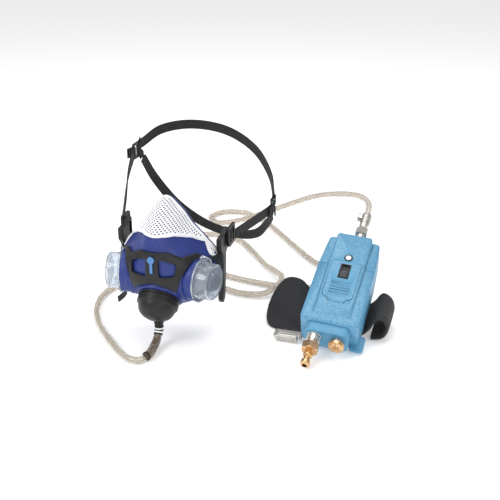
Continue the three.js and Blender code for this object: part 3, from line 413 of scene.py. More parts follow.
def finished(mesh: bpy.types.Mesh, name: str, dress: Sequence[bpy.types.Material],
             smoothing: Smoothing) -> bpy.types.Object:
    """Link a mesh as a piece with its materials and shading.

    Args:
        mesh: The mesh, in metres of the row frame.
        name: The piece's name.
        dress: Its materials.
        smoothing: How its edges are shaded.

    Returns:
        The linked object.
    """
    recalculated(mesh)
    mesh.materials.clear()
    for material in dress:
        mesh.materials.append(material)
    mesh.polygons.foreach_set("use_smooth", [True] * len(mesh.polygons))
    if smoothing is not Smoothing.SOFT:
        mesh.set_sharp_from_angle(angle=math.radians(smoothing.value))
    mesh.name = name
    made = bpy.data.objects.new(name, mesh)
    bpy.context.scene.collection.objects.link(made)
    return made


def evaluated(source: bpy.types.Object, name: str) -> bpy.types.Mesh:
    """Plain mesh of an object with its modifiers applied; the object is removed."""
    bpy.context.view_layer.update()
    graph = bpy.context.evaluated_depsgraph_get()
    mesh = bpy.data.meshes.new_from_object(source.evaluated_get(graph), depsgraph=graph)
    mesh.name = name
    bpy.data.objects.remove(source)
    return mesh


class Solid:
    """A closed mesh that can be joined, cut and rounded before it becomes a piece."""

    def __init__(self, shape: Shape) -> None:
        """Take over a shape's mesh."""
        self.body = shape.piece("solid", [], Smoothing.SOFT)

    def act(self, how: Cut, *others: Shape) -> "Solid":
        """Join, cut or keep the common part with other shapes."""
        for shape in others:
            tool = shape.piece("tool", [], Smoothing.SOFT)
            step = self.body.modifiers.new("cut", "BOOLEAN")
            step.operation = how.value
            step.solver = "MANIFOLD"
            step.object = tool
            mesh = evaluated(self.body, "solid")
            bpy.data.objects.remove(tool)
            self.body = bpy.data.objects.new("solid", mesh)
            bpy.context.scene.collection.objects.link(self.body)
        return self

    def moulded(self, name: str, dress: Sequence[bpy.types.Material], voxel: float,
                passes: int) -> bpy.types.Object:
        """Round every edge as a mould does.

        Args:
            name: The piece's name.
            dress: Its materials.
            voxel: Remesh size in millimetres.
            passes: Smoothing passes.

        Returns:
            The finished piece.
        """
        remesh = self.body.modifiers.new("skin", "REMESH")
        remesh.mode = "VOXEL"
        remesh.voxel_size = voxel * MM
        relax = self.body.modifiers.new("relax", "SMOOTH")
        relax.factor = 0.5
        relax.iterations = passes
        return finished(evaluated(self.body, name), name, dress, Smoothing.SOFT)


WELD_DISTANCE = 2e-6
FLAT_ANGLE = math.radians(0.8)
SHARP_ANGLE = math.radians(33)


def softened(frame: dict, node: str, name: str, dress: Sequence[bpy.types.Material], radius: float,
             steps: int = 2) -> bpy.types.Object:
    """Copy of a frame node with its sharp edges rounded.

    Args:
        frame: The loaded frame.
        node: The node to copy.
        name: The piece's name.
        dress: Its materials.
        radius: Edge radius in millimetres.
        steps: Segments in each rounded edge.

    Returns:
        The piece, which still has to ride and replace the node.
    """
    mesh = frame["nodes"][node].data.copy()
    work = bmesh.new()
    work.from_mesh(mesh)
    bmesh.ops.remove_doubles(work, verts=work.verts, dist=WELD_DISTANCE)
    bmesh.ops.dissolve_limit(work, angle_limit=FLAT_ANGLE, verts=work.verts, edges=work.edges)
    # a large face with a window in it draws wrongly unless it is cut into triangles
    large = [face for face in work.faces if len(face.verts) > 4]
    bmesh.ops.triangulate(work, faces=large, ngon_method="EAR_CLIP")
    work.to_mesh(mesh)
    work.free()
    made = finished(mesh, name, dress, Smoothing.MACHINED)
    edge = made.modifiers.new("edges", "BEVEL")
    edge.width = radius * MM
    edge.segments = steps
    edge.limit_method = "ANGLE"
    edge.angle_limit = SHARP_ANGLE
    edge.miter_outer = "MITER_ARC"
    edge.use_clamp_overlap = True
    return finished(evaluated(made, name), name, dress, Smoothing.MACHINED)


def mounted(piece: bpy.types.Object, slot: str, *nodes: str, body: str = ROOT) -> bpy.types.Object:
    """Ride a piece on a body and take the place of frame nodes.

    Args:
        piece: The piece.
        slot: The record's material slot; not used.
        nodes: Frame nodes it stands for.
        body: The body it rides on.

    Returns:
        The piece.
    """
    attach(piece, body)
    if nodes:
        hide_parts(*nodes)
    LOG.info("%s rides on %s", piece.name, body)
    return piece


# ------------------------------------------------------------------ shader groups


class Nodes:
    """Short way to place and join nodes in a node tree."""

    def __init__(self, tree: bpy.types.NodeTree) -> None:
        """Work on a tree."""
        self.tree = tree

    def add(self, kind: str, setup: dict | None = None, **values: object) -> bpy.types.Node:
        """Place a node.

        Args:
            kind: Blender's node class name.
            setup: Node properties to set first.
            **values: Input values or sockets, by input name with underscores for spaces.

        Returns:
            The node.
        """
        node = self.tree.nodes.new(kind)
        for key, value in (setup or {}).items():
            setattr(node, key, value)
        for key, value in values.items():
            self.give(node.inputs[key.replace("_", " ")], value)
        return node

    def give(self, socket: bpy.types.NodeSocket, value: object) -> None:
        """Set an input, or join it to an output."""
        if isinstance(value, bpy.types.NodeSocket):
            self.tree.links.new(value, socket)
        else:
            socket.default_value = value

    def math(self, how: str, *values: object) -> bpy.types.NodeSocket:
        """Result of a Math node on one or two values or sockets."""
        node = self.tree.nodes.new("ShaderNodeMath")
        node.operation = how
        for socket, value in zip(node.inputs, values):
            self.give(socket, value)
        return node.outputs[0]

    def blend(self, share: object, low: object, high: object) -> bpy.types.NodeSocket:
        """Colour between two colours."""
        node = self.tree.nodes.new("ShaderNodeMix")
        node.data_type = "RGBA"
        for socket, value in zip((node.inputs[0], node.inputs[6], node.inputs[7]), (share, low, high)):
            self.give(socket, value)
        return node.outputs[2]

    def range(self, value: object, low: float, high: float, start: float = 0.0,
              end: float = 1.0) -> bpy.types.NodeSocket:
        """Value carried from one range to another, clamped."""
        node = self.add("ShaderNodeMapRange")
        for socket, given in zip(node.inputs, (value, low, high, start, end)):
            self.give(socket, given)
        return node.outputs[0]


def shader_group(name: str, inputs: dict[str, object], outputs: dict[str, str],
                 draw: Callable[[Nodes, dict[str, bpy.types.NodeSocket]], dict[str, object]]) -> bpy.types.NodeTree:
    """Build a shader node group.

    Args:
        name: The group's name.
        inputs: Default value of each input, whose kind follows the value.
        outputs: Socket class of each output.
        draw: Places the nodes and returns a socket for each output.

    Returns:
        The group.
    """
    tree = bpy.data.node_groups.new(name, "ShaderNodeTree")
    for key, value in inputs.items():
        kind = "NodeSocketFloat" if isinstance(value, float) else "NodeSocketColor"
        kind = "NodeSocketVector" if value is None else kind
        socket = tree.interface.new_socket(name=key, in_out="INPUT", socket_type=kind)
        if value is not None:
            socket.default_value = value
    for key, kind in outputs.items():
        tree.interface.new_socket(name=key, in_out="OUTPUT", socket_type=kind)
    nodes = Nodes(tree)
    entry = tree.nodes.new("NodeGroupInput")
    leave = tree.nodes.new("NodeGroupOutput")
    for key, value in draw(nodes, {s.name: s for s in entry.outputs if s.name}).items():
        nodes.give(leave.inputs[key], value)
    return tree


def draw_grain(n: Nodes, given: dict[str, bpy.types.NodeSocket]) -> dict[str, object]:
    """Fine moulded grain with a slow drift of colour and gloss."""
    place = n.add("ShaderNodeTexCoord").outputs["Object"]
    fine = n.add("ShaderNodeTexNoise", Vector=place, Scale=given["Grain"], Detail=3.0).outputs["Fac"]
    slow = n.add("ShaderNodeTexNoise", Vector=place, Scale=38.0, Detail=4.0, Roughness=0.6).outputs["Fac"]
    drift = n.range(slow, 0.3, 0.7)
    colour = n.blend(n.math("MULTIPLY", drift, given["Drift"]), given["Colour"], given["Second colour"])
    gloss = n.math("ADD", given["Roughness"], n.range(fine, 0.3, 0.7, -0.05, 0.06))
    smear = n.math("ADD", gloss, n.range(slow, 0.35, 0.75, -0.05, 0.07))
    return {"Colour": colour, "Roughness": smear, "Height": fine}


def draw_wear_dust_and_shade(n: Nodes, given: dict[str, bpy.types.NodeSocket]) -> dict[str, object]:
    """Rubbed edges, and a colour laid into the hollows: settled dust where that colour is pale, painted shade where it
    is darker than the surface.
    """
    place = n.add("ShaderNodeTexCoord").outputs["Object"]
    edge = n.range(n.add("ShaderNodeNewGeometry").outputs["Pointiness"], 0.515, 0.60)
    hollow = n.range(n.add("ShaderNodeNewGeometry").outputs["Pointiness"], 0.485, 0.43)
    broken = n.range(n.add("ShaderNodeTexNoise", Vector=place, Scale=420.0, Detail=4.0).outputs["Fac"], 0.4, 0.62)
    rubbed = n.math("MULTIPLY", n.math("MULTIPLY", edge, broken), given["Wear"])
    colour = n.blend(rubbed, given["Colour"], given["Worn colour"])
    # hollows take the given colour: pale dust on moulded pieces, painted shade where metal and cloth give their darker
    # tone
    hollow_shade_and_dust = n.blend(n.math("MULTIPLY", hollow, given["Dust"]), colour, given["Dust colour"])
    return {"Colour": hollow_shade_and_dust, "Mask": rubbed}


def draw_weave(n: Nodes, given: dict[str, bpy.types.NodeSocket]) -> dict[str, object]:
    """Over-and-under threads along a piece's own map, which is in millimetres; raised threads are painted lighter as a
    highlight and the gaps darker as painted shade, with a slow random fade.
    """
    split = n.add("ShaderNodeSeparateXYZ", Vector=n.add("ShaderNodeUVMap").outputs["UV"])
    turn = 2 * math.pi
    warp = n.math("SINE", n.math("MULTIPLY", split.outputs["Y"], n.math("MULTIPLY", given["Across"], turn)))
    weft = n.math("SINE", n.math("MULTIPLY", split.outputs["X"], n.math("MULTIPLY", given["Along"], turn)))
    over = n.math("ADD", n.math("MULTIPLY", n.math("MULTIPLY", warp, weft), 0.5), 0.5)
    rib = n.math("ADD", n.math("MULTIPLY", n.math("ABSOLUTE", warp), 0.6), n.math("MULTIPLY", over, 0.4))
    place = n.add("ShaderNodeTexCoord").outputs["Object"]
    fuzz = n.add("ShaderNodeTexNoise", Vector=place, Scale=2600.0, Detail=2.0).outputs["Fac"]
    faded = n.add("ShaderNodeTexNoise", Vector=place, Scale=55.0, Detail=3.0).outputs["Fac"]
    height = n.math("ADD", rib, n.math("MULTIPLY", fuzz, 0.35))
    # painted highlight on raised threads and painted shade in the gaps, blended with a slow random fade
    light = n.math("MULTIPLY", n.math("ADD", n.math("MULTIPLY", height, 0.6), n.math("MULTIPLY", faded, 0.4)), 0.9)
    return {"Colour": n.blend(light, given["Colour"], given["Thread colour"]), "Height": height}


def draw_brush(n: Nodes, given: dict[str, bpy.types.NodeSocket]) -> dict[str, object]:
    """Machining marks and tarnish on bare metal."""
    place = n.add("ShaderNodeTexCoord").outputs["Object"]
    marks = n.add("ShaderNodeTexNoise", Vector=place, Scale=given["Marks"], Detail=5.0, Roughness=0.7).outputs["Fac"]
    cloud = n.add("ShaderNodeTexNoise", Vector=place, Scale=140.0, Detail=4.0).outputs["Fac"]
    tarnish = n.math("MULTIPLY", n.range(cloud, 0.42, 0.68), given["Tarnish"])
    colour = n.blend(tarnish, given["Colour"], given["Dark colour"])
    gloss = n.math("ADD", given["Roughness"], n.range(marks, 0.35, 0.7, -0.05, 0.09))
    return {"Colour": colour, "Roughness": n.math("ADD", gloss, n.math("MULTIPLY", tarnish, 0.2)),
            "Height": marks}


WHITE = (1.0, 1.0, 1.0, 1.0)
FLOAT, COLOUR = "NodeSocketFloat", "NodeSocketColor"


class Effects:
    """The shader groups that several finishes share."""

    def __init__(self) -> None:
        """Build each group once."""
        self.grain = shader_group(
            "moulded_grain",
            {"Colour": WHITE, "Second colour": WHITE, "Grain": 900.0, "Drift": 0.5, "Roughness": 0.5},
            {"Colour": COLOUR, "Roughness": FLOAT, "Height": FLOAT}, draw_grain)
        # edge wear, with dust and painted shade in the hollows
        self.wear = shader_group(
            "edge_wear",
            {"Colour": WHITE, "Worn colour": WHITE, "Dust colour": WHITE, "Wear": 0.4, "Dust": 0.2},
            {"Colour": COLOUR, "Mask": FLOAT}, draw_wear_dust_and_shade)
        self.weave = shader_group(
            "woven_threads",
            {"Colour": WHITE, "Thread colour": WHITE, "Along": 1.0, "Across": 1.0},
            {"Colour": COLOUR, "Height": FLOAT}, draw_weave)
        self.brush = shader_group(
            "machined_marks",
            {"Colour": WHITE, "Dark colour": WHITE, "Marks": 900.0, "Tarnish": 0.3, "Roughness": 0.3},
            {"Colour": COLOUR, "Roughness": FLOAT, "Height": FLOAT}, draw_brush)


# ------------------------------------------------------------------ finishes


def rgba(colour: Triple) -> tuple[float, float, float, float]:
    """Colour with full cover."""
    return (*colour, 1.0)


class Bench:
    """A material being made: its nodes, its shader and its output."""

    def __init__(self, name: str) -> None:
        """Start a material with one shader."""
        self.material = bpy.data.materials.new(name)
        self.material.use_nodes = True
        self.material.node_tree.nodes.clear()
        self.nodes = Nodes(self.material.node_tree)
        self.shader = self.nodes.add("ShaderNodeBsdfPrincipled")
        self.nodes.add("ShaderNodeOutputMaterial", Surface=self.shader.outputs["BSDF"])

    def group(self, tree: bpy.types.NodeTree, values: dict[str, object]) -> bpy.types.Node:
        """Place a shared group with this material's values."""
        node = self.nodes.add("ShaderNodeGroup", {"node_tree": tree})
        for key, value in values.items():
            self.nodes.give(node.inputs[key], value)
        return node

    def raised(self, height: bpy.types.NodeSocket, depth: float, strength: float) -> None:
        """Feed a height to the shader's normal.

        Args:
            height: The height's socket.
            depth: Full height in millimetres.
            strength: How strongly it shows.
        """
        bump = self.nodes.add("ShaderNodeBump", Height=height, Strength=strength, Distance=depth * MM)
        self.nodes.give(self.shader.inputs["Normal"], bump.outputs["Normal"])

    def put(self, **values: object) -> None:
        """Set or join shader inputs by name."""
        for key, value in values.items():
            self.nodes.give(self.shader.inputs[key.replace("_", " ")], value)


@dataclass(frozen=True)
class Moulded:
    """Moulded plastic or rubber."""

    name: str
    colour: Triple
    second: Triple
    worn: Triple
    roughness: float
    grain: float = 1500.0
    depth: float = 0.05
    wear: float = 0.35
    coat: float = 0.0
    sheen: float = 0.0
    under: float = 0.0
    shine: float = 0.5

    def made(self, effects: Effects) -> bpy.types.Material:
        """Build the material."""
        bench = Bench(self.name)
        grain = bench.group(effects.grain, {
            "Colour": rgba(self.colour), "Second colour": rgba(self.second), "Grain": self.grain,
            "Drift": 0.8, "Roughness": self.roughness})
        wear = bench.group(effects.wear, {
            "Colour": grain.outputs["Colour"], "Worn colour": rgba(self.worn), "Wear": self.wear,
            # the pale colour laid into the hollows here is settled dust
            "Dust colour": rgba((0.55, 0.52, 0.47)), "Dust": 0.12})
        bench.put(Base_Color=wear.outputs["Colour"], Roughness=grain.outputs["Roughness"],
                  Coat_Weight=self.coat, Coat_Roughness=0.25, Sheen_Weight=self.sheen, Specular_IOR_Level=self.shine,
                  Subsurface_Weight=self.under, Subsurface_Scale=0.002)
        bench.raised(grain.outputs["Height"], self.depth, 0.35)
        return bench.material


@dataclass(frozen=True)
class Metal:
    """Bare or plated metal."""

    name: str
    colour: Triple
    dark: Triple
    roughness: float
    marks: float = 1600.0
    tarnish: float = 0.35
    depth: float = 0.02

    def made(self, effects: Effects) -> bpy.types.Material:
        """Build the material."""
        bench = Bench(self.name)
        brush = bench.group(effects.brush, {
            "Colour": rgba(self.colour), "Dark colour": rgba(self.dark), "Marks": self.marks,
            "Tarnish": self.tarnish, "Roughness": self.roughness})
        wear = bench.group(effects.wear, {
            "Colour": brush.outputs["Colour"], "Worn colour": rgba((0.92, 0.90, 0.86)), "Wear": 0.5,
            # the metal's dark tone laid into the hollows is painted shade
            "Dust colour": rgba(self.dark), "Dust": 0.6})
        bench.put(Base_Color=wear.outputs["Colour"], Roughness=brush.outputs["Roughness"], Metallic=1.0)
        bench.raised(brush.outputs["Height"], self.depth, 0.3)
        return bench.material


@dataclass(frozen=True)
class Woven:
    """Webbing or knitted cloth, on a map in millimetres."""

    name: str
    colour: Triple
    thread: Triple
    along: float
    across: float
    depth: float = 0.25
    sheen: float = 0.4
    roughness: float = 0.85

    def made(self, effects: Effects) -> bpy.types.Material:
        """Build the material."""
        bench = Bench(self.name)
        # the weave paints its lighter colour on raised threads as a highlight and its darker colour in the gaps as
        # shade
        weave = bench.group(effects.weave, {
            "Colour": rgba(self.colour), "Thread colour": rgba(self.thread),
            "Along": self.along, "Across": self.across})
        wear = bench.group(effects.wear, {
            "Colour": weave.outputs["Colour"], "Worn colour": rgba(self.thread), "Wear": 0.3,
            # the darker gap colour laid into the hollows is painted shade
            "Dust colour": rgba(self.colour), "Dust": 0.3})
        bench.put(Base_Color=wear.outputs["Colour"], Roughness=self.roughness,
                  Sheen_Weight=self.sheen, Sheen_Roughness=0.5)
        bench.raised(weave.outputs["Height"], self.depth, 0.6)
        return bench.material


@dataclass(frozen=True)
class Clear:
    """See-through plastic."""

    name: str
    colour: Triple
    second: Triple
    roughness: float
    through: float
    bend: float = 1.47
    grain: float = 500.0

    def made(self, effects: Effects) -> bpy.types.Material:
        """Build the material."""
        bench = Bench(self.name)
        grain = bench.group(effects.grain, {
            "Colour": rgba(self.colour), "Second colour": rgba(self.second), "Grain": self.grain,
            "Drift": 0.7, "Roughness": self.roughness})
        bench.put(Base_Color=grain.outputs["Colour"], Roughness=grain.outputs["Roughness"],
                  Transmission_Weight=self.through, IOR=self.bend, Metallic=0.0)
        bench.raised(grain.outputs["Height"], 0.03, 0.2)
        return bench.material


class Finishes:
    """Every material of the object, made once."""

    def __init__(self) -> None:
        """Build them all from the shared effects."""
        e = Effects()
        self.rubber = Moulded("blue_rubber", (0.016, 0.034, 0.20), (0.011, 0.024, 0.15), (0.05, 0.09, 0.34),
                              0.46, 1900.0, 0.06, 0.3, 0.04, shine=0.4).made(e)
        self.peg = Moulded("peg_plastic", (0.06, 0.19, 0.46), (0.05, 0.15, 0.40), (0.2, 0.35, 0.6), 0.3).made(e)
        self.black = Moulded("black_plastic", (0.006, 0.006, 0.007), (0.010, 0.010, 0.011), (0.05, 0.05, 0.053),
                             0.40, 1600.0, 0.05, 0.3, shine=0.35).made(e)
        self.grey = Moulded("grey_plastic", (0.055, 0.06, 0.07), (0.04, 0.045, 0.05), (0.2, 0.2, 0.22), 0.5).made(e)
        self.case = Moulded("case_blue", (0.085, 0.29, 0.47), (0.074, 0.26, 0.43), (0.26, 0.46, 0.60),
                            0.46, 2600.0, 0.06, 0.4, 0.05).made(e)
        self.white = Moulded("white_plastic", (0.84, 0.84, 0.83), (0.78, 0.78, 0.76), (0.9, 0.9, 0.9), 0.3).made(e)
        self.flap = Moulded("soft_rubber", (0.30, 0.32, 0.35), (0.25, 0.27, 0.3), (0.45, 0.46, 0.5), 0.5,
                            under=0.1).made(e)
        self.net = Woven("white_net", (0.70, 0.70, 0.73), (0.93, 0.93, 0.95), 0.9, 0.9, 0.3, 0.3).made(e)
        self.webbing = Woven("black_webbing", (0.004, 0.004, 0.005), (0.018, 0.018, 0.02), 0.55, 0.8, 0.25,
                             0.03).made(e)
        self.padding = Woven("belt_cloth", (0.006, 0.006, 0.007), (0.030, 0.030, 0.034), 0.7, 0.7, 0.3, 0.05).made(e)
        self.stitch = Woven("stitch_thread", (0.03, 0.03, 0.032), (0.10, 0.10, 0.11), 2.0, 2.0, 0.1, 0.3).made(e)
        self.clear = Clear("clear_plastic", (0.86, 0.91, 0.97), (0.80, 0.87, 0.95), 0.07, 0.88).made(e)
        self.pvc = Clear("hose_pvc", (0.84, 0.79, 0.73), (0.78, 0.72, 0.65), 0.10, 0.80, 1.40).made(e)
        self.ribbed = Clear("guard_sleeve", (0.34, 0.26, 0.18), (0.24, 0.18, 0.12), 0.25, 0.25, 1.42).made(e)
        self.brass = Metal("brass", (0.64, 0.39, 0.18), (0.30, 0.17, 0.08), 0.26, 2000.0, 0.35).made(e)
        self.nickel = Metal("nickel", (0.72, 0.69, 0.64), (0.36, 0.33, 0.29), 0.2, 2000.0, 0.3).made(e)
        self.steel = Metal("steel", (0.50, 0.48, 0.45), (0.22, 0.21, 0.20), 0.38, 2400.0, 0.3).made(e)
        self.wire = Metal("guard_wire", (0.20, 0.15, 0.10), (0.08, 0.06, 0.04), 0.35, 2400.0, 0.4).made(e)
        self.paper = Moulded("filter_paper", (0.82, 0.80, 0.72), (0.74, 0.70, 0.60), (0.9, 0.88, 0.8), 0.9,
                             900.0, 0.1, 0.1).made(e)


# ------------------------------------------------------------------ repeats by geometry nodes


def geometry_tree(name: str, inputs: dict[str, tuple[str, object]]) -> tuple[bpy.types.NodeTree, Nodes,
                                                                             dict[str, bpy.types.NodeSocket]]:
    """Start a geometry node tree.

    Args:
        name: The tree's name.
        inputs: Socket class and default of each named input.

    Returns:
        The tree, its node bench and its input sockets by name.
    """
    tree = bpy.data.node_groups.new(name, "GeometryNodeTree")
    tree.interface.new_socket(name="Geometry", in_out="INPUT", socket_type="NodeSocketGeometry")
    for key, (kind, value) in inputs.items():
        socket = tree.interface.new_socket(name=key, in_out="INPUT", socket_type=kind)
        if value is not None:
            socket.default_value = value
    tree.interface.new_socket(name="Geometry", in_out="OUTPUT", socket_type="NodeSocketGeometry")
    entry = tree.nodes.new("NodeGroupInput")
    return tree, Nodes(tree), {s.name: s for s in entry.outputs if s.name}


def close_tree(n: Nodes, instances: bpy.types.NodeSocket, material: bpy.types.NodeSocket) -> None:
    """End a tree with real geometry and its material."""
    real = n.add("GeometryNodeRealizeInstances", Geometry=instances)
    dressed = n.add("GeometryNodeSetMaterial", Geometry=real.outputs["Geometry"], Material=material)
    leave = n.tree.nodes.new("NodeGroupOutput")
    n.give(leave.inputs["Geometry"], dressed.outputs["Geometry"])


class Repeats:
    """Geometry node trees for ribs round an axis and for stitches along a line."""

    def __init__(self) -> None:
        """Build both trees."""
        self.ribs, n, given = geometry_tree("ribs_round_axis", {
            "Count": ("NodeSocketInt", 24), "Radius": ("NodeSocketFloat", 0.01),
            "Rib size": ("NodeSocketVector", (0.001, 0.001, 0.001)), "Lean": ("NodeSocketFloat", 0.0),
            "Material": ("NodeSocketMaterial", None)})
        ring = n.add("GeometryNodeCurvePrimitiveCircle", Resolution=180, Radius=given["Radius"])
        spots = n.add("GeometryNodeCurveToPoints", {"mode": "COUNT"}, Curve=ring.outputs["Curve"],
                      Count=given["Count"])
        block = n.add("GeometryNodeMeshCube", Size=given["Rib size"])
        round_block = n.add("GeometryNodeSubdivisionSurface", Mesh=block.outputs["Mesh"], Level=1,
                            Edge_Crease=0.35)
        placed = n.add("GeometryNodeInstanceOnPoints", Points=spots.outputs["Points"],
                       Instance=round_block.outputs["Mesh"], Rotation=spots.outputs["Rotation"])
        spin = n.add("ShaderNodeCombineXYZ", X=given["Lean"])
        leant = n.add("GeometryNodeRotateInstances", Instances=placed.outputs["Instances"],
                      Rotation=spin.outputs["Vector"])
        close_tree(n, leant.outputs["Instances"], given["Material"])

        self.stitches, n, given = geometry_tree("stitches_along_line", {
            "Pitch": ("NodeSocketFloat", 0.003), "Stitch size": ("NodeSocketVector", (0.0005, 0.0004, 0.002)),
            "Material": ("NodeSocketMaterial", None)})
        spots = n.add("GeometryNodeCurveToPoints", {"mode": "LENGTH"}, Curve=given["Geometry"],
                      Length=given["Pitch"])
        block = n.add("GeometryNodeMeshCube", Size=given["Stitch size"])
        thread = n.add("GeometryNodeSubdivisionSurface", Mesh=block.outputs["Mesh"], Level=1)
        placed = n.add("GeometryNodeInstanceOnPoints", Points=spots.outputs["Points"],
                       Instance=thread.outputs["Mesh"], Rotation=spots.outputs["Rotation"])
        close_tree(n, placed.outputs["Instances"], given["Material"])

    def applied(self, tree: bpy.types.NodeTree, source: bpy.types.Object,
                values: dict[str, object]) -> bpy.types.Mesh:
        """Run a tree on an object and keep the plain mesh.

        Args:
            tree: The tree.
            source: The object it runs on, which is removed.
            values: Input values by name.

        Returns:
            The mesh, in the object's own coordinates.
        """
        step = source.modifiers.new("repeat", "NODES")
        step.node_group = tree
        for socket in tree.interface.items_tree:
            if socket.in_out == "INPUT" and socket.name in values:
                step[socket.identifier] = values[socket.name]
        return evaluated(source, "repeat")

    def ribs_at(self, place: Place, count: int, radius: float, size: Triple,
                material: bpy.types.Material, lean: float = 0.0) -> bpy.types.Mesh:
        """Ribs round a place's y axis.

        Args:
            place: The axis, with the ribs centred on its origin.
            count: Number of ribs.
            radius: Radius of their middles, in millimetres.
            size: Rib size as (radial, along the axis, round the axis), in millimetres.
            material: Their material.
            lean: Turn of each rib about its own radius, in radians.

        Returns:
            The mesh in metres of the row frame.
        """
        holder = bpy.data.objects.new("ribs", bpy.data.meshes.new("ribs"))
        bpy.context.scene.collection.objects.link(holder)
        mesh = self.applied(self.ribs, holder, {
            "Count": count, "Radius": radius * MM, "Rib size": tuple(s * MM for s in size),
            "Lean": lean, "Material": material})
        flat = Matrix.Rotation(math.radians(90), 4, "X")
        mesh.transform(place.matrix() @ flat)
        return mesh

    def stitches_at(self, line: Sequence[Vector], pitch: float, size: Triple,
                    material: bpy.types.Material) -> bpy.types.Mesh:
        """Stitches along a line.

        Args:
            line: Points of the seam, in millimetres.
            pitch: Distance between stitches.
            size: Stitch size as (across, high, along).
            material: Thread material.

        Returns:
            The mesh in metres of the row frame.
        """
        curve = bpy.data.curves.new("seam", "CURVE")
        curve.dimensions = "3D"
        spline = curve.splines.new("POLY")
        spline.points.add(len(line) - 1)
        for point, spot in zip(spline.points, line):
            point.co = (*(spot * MM), 1.0)
        holder = bpy.data.objects.new("seam", curve)
        bpy.context.scene.collection.objects.link(holder)
        return self.applied(self.stitches, holder, {
            "Pitch": pitch * MM, "Stitch size": tuple(s * MM for s in size), "Material": material})


def gathered(name: str, meshes: Iterable[bpy.types.Mesh], dress: Sequence[bpy.types.Material],
             smoothing: Smoothing = Smoothing.MACHINED) -> bpy.types.Object:
    """One piece from several meshes in metres.

    Args:
        name: The piece's name.
        meshes: The meshes; each keeps slot 0.
        dress: Materials of the piece.
        smoothing: How its edges are shaded.

    Returns:
        The piece.
    """
    work = bmesh.new()
    for mesh in meshes:
        work.from_mesh(mesh)
    whole = bpy.data.meshes.new(name)
    work.to_mesh(whole)
    work.free()
    return finished(whole, name, dress, smoothing)


# ------------------------------------------------------------------ the mask's own surface

FRONT_PLANE = Place(Vector((0, 0, 0)), Vector((1, 0, 0)), Vector((0, 0, 1)), Vector((0, 1, 0)))
SIDE_PLANE = Place(Vector((0, 0, 0)), Vector((0, 1, 0)), Vector((0, 0, 1)), Vector((1, 0, 0)))


def both_sides(points: Sequence[Pair]) -> list[Pair]:
    """Outline of one side and its mirror image."""
    return [*points, *((-x, z) for x, z in reversed(points))]


def rod(radius: float, low: float, high: float, place: Place, segments: int = 96) -> Shape:
    """Round bar along a place's y axis."""
    return Shape().turned([(0, low), (radius, low), (radius, high), (0, high)], place, segments)


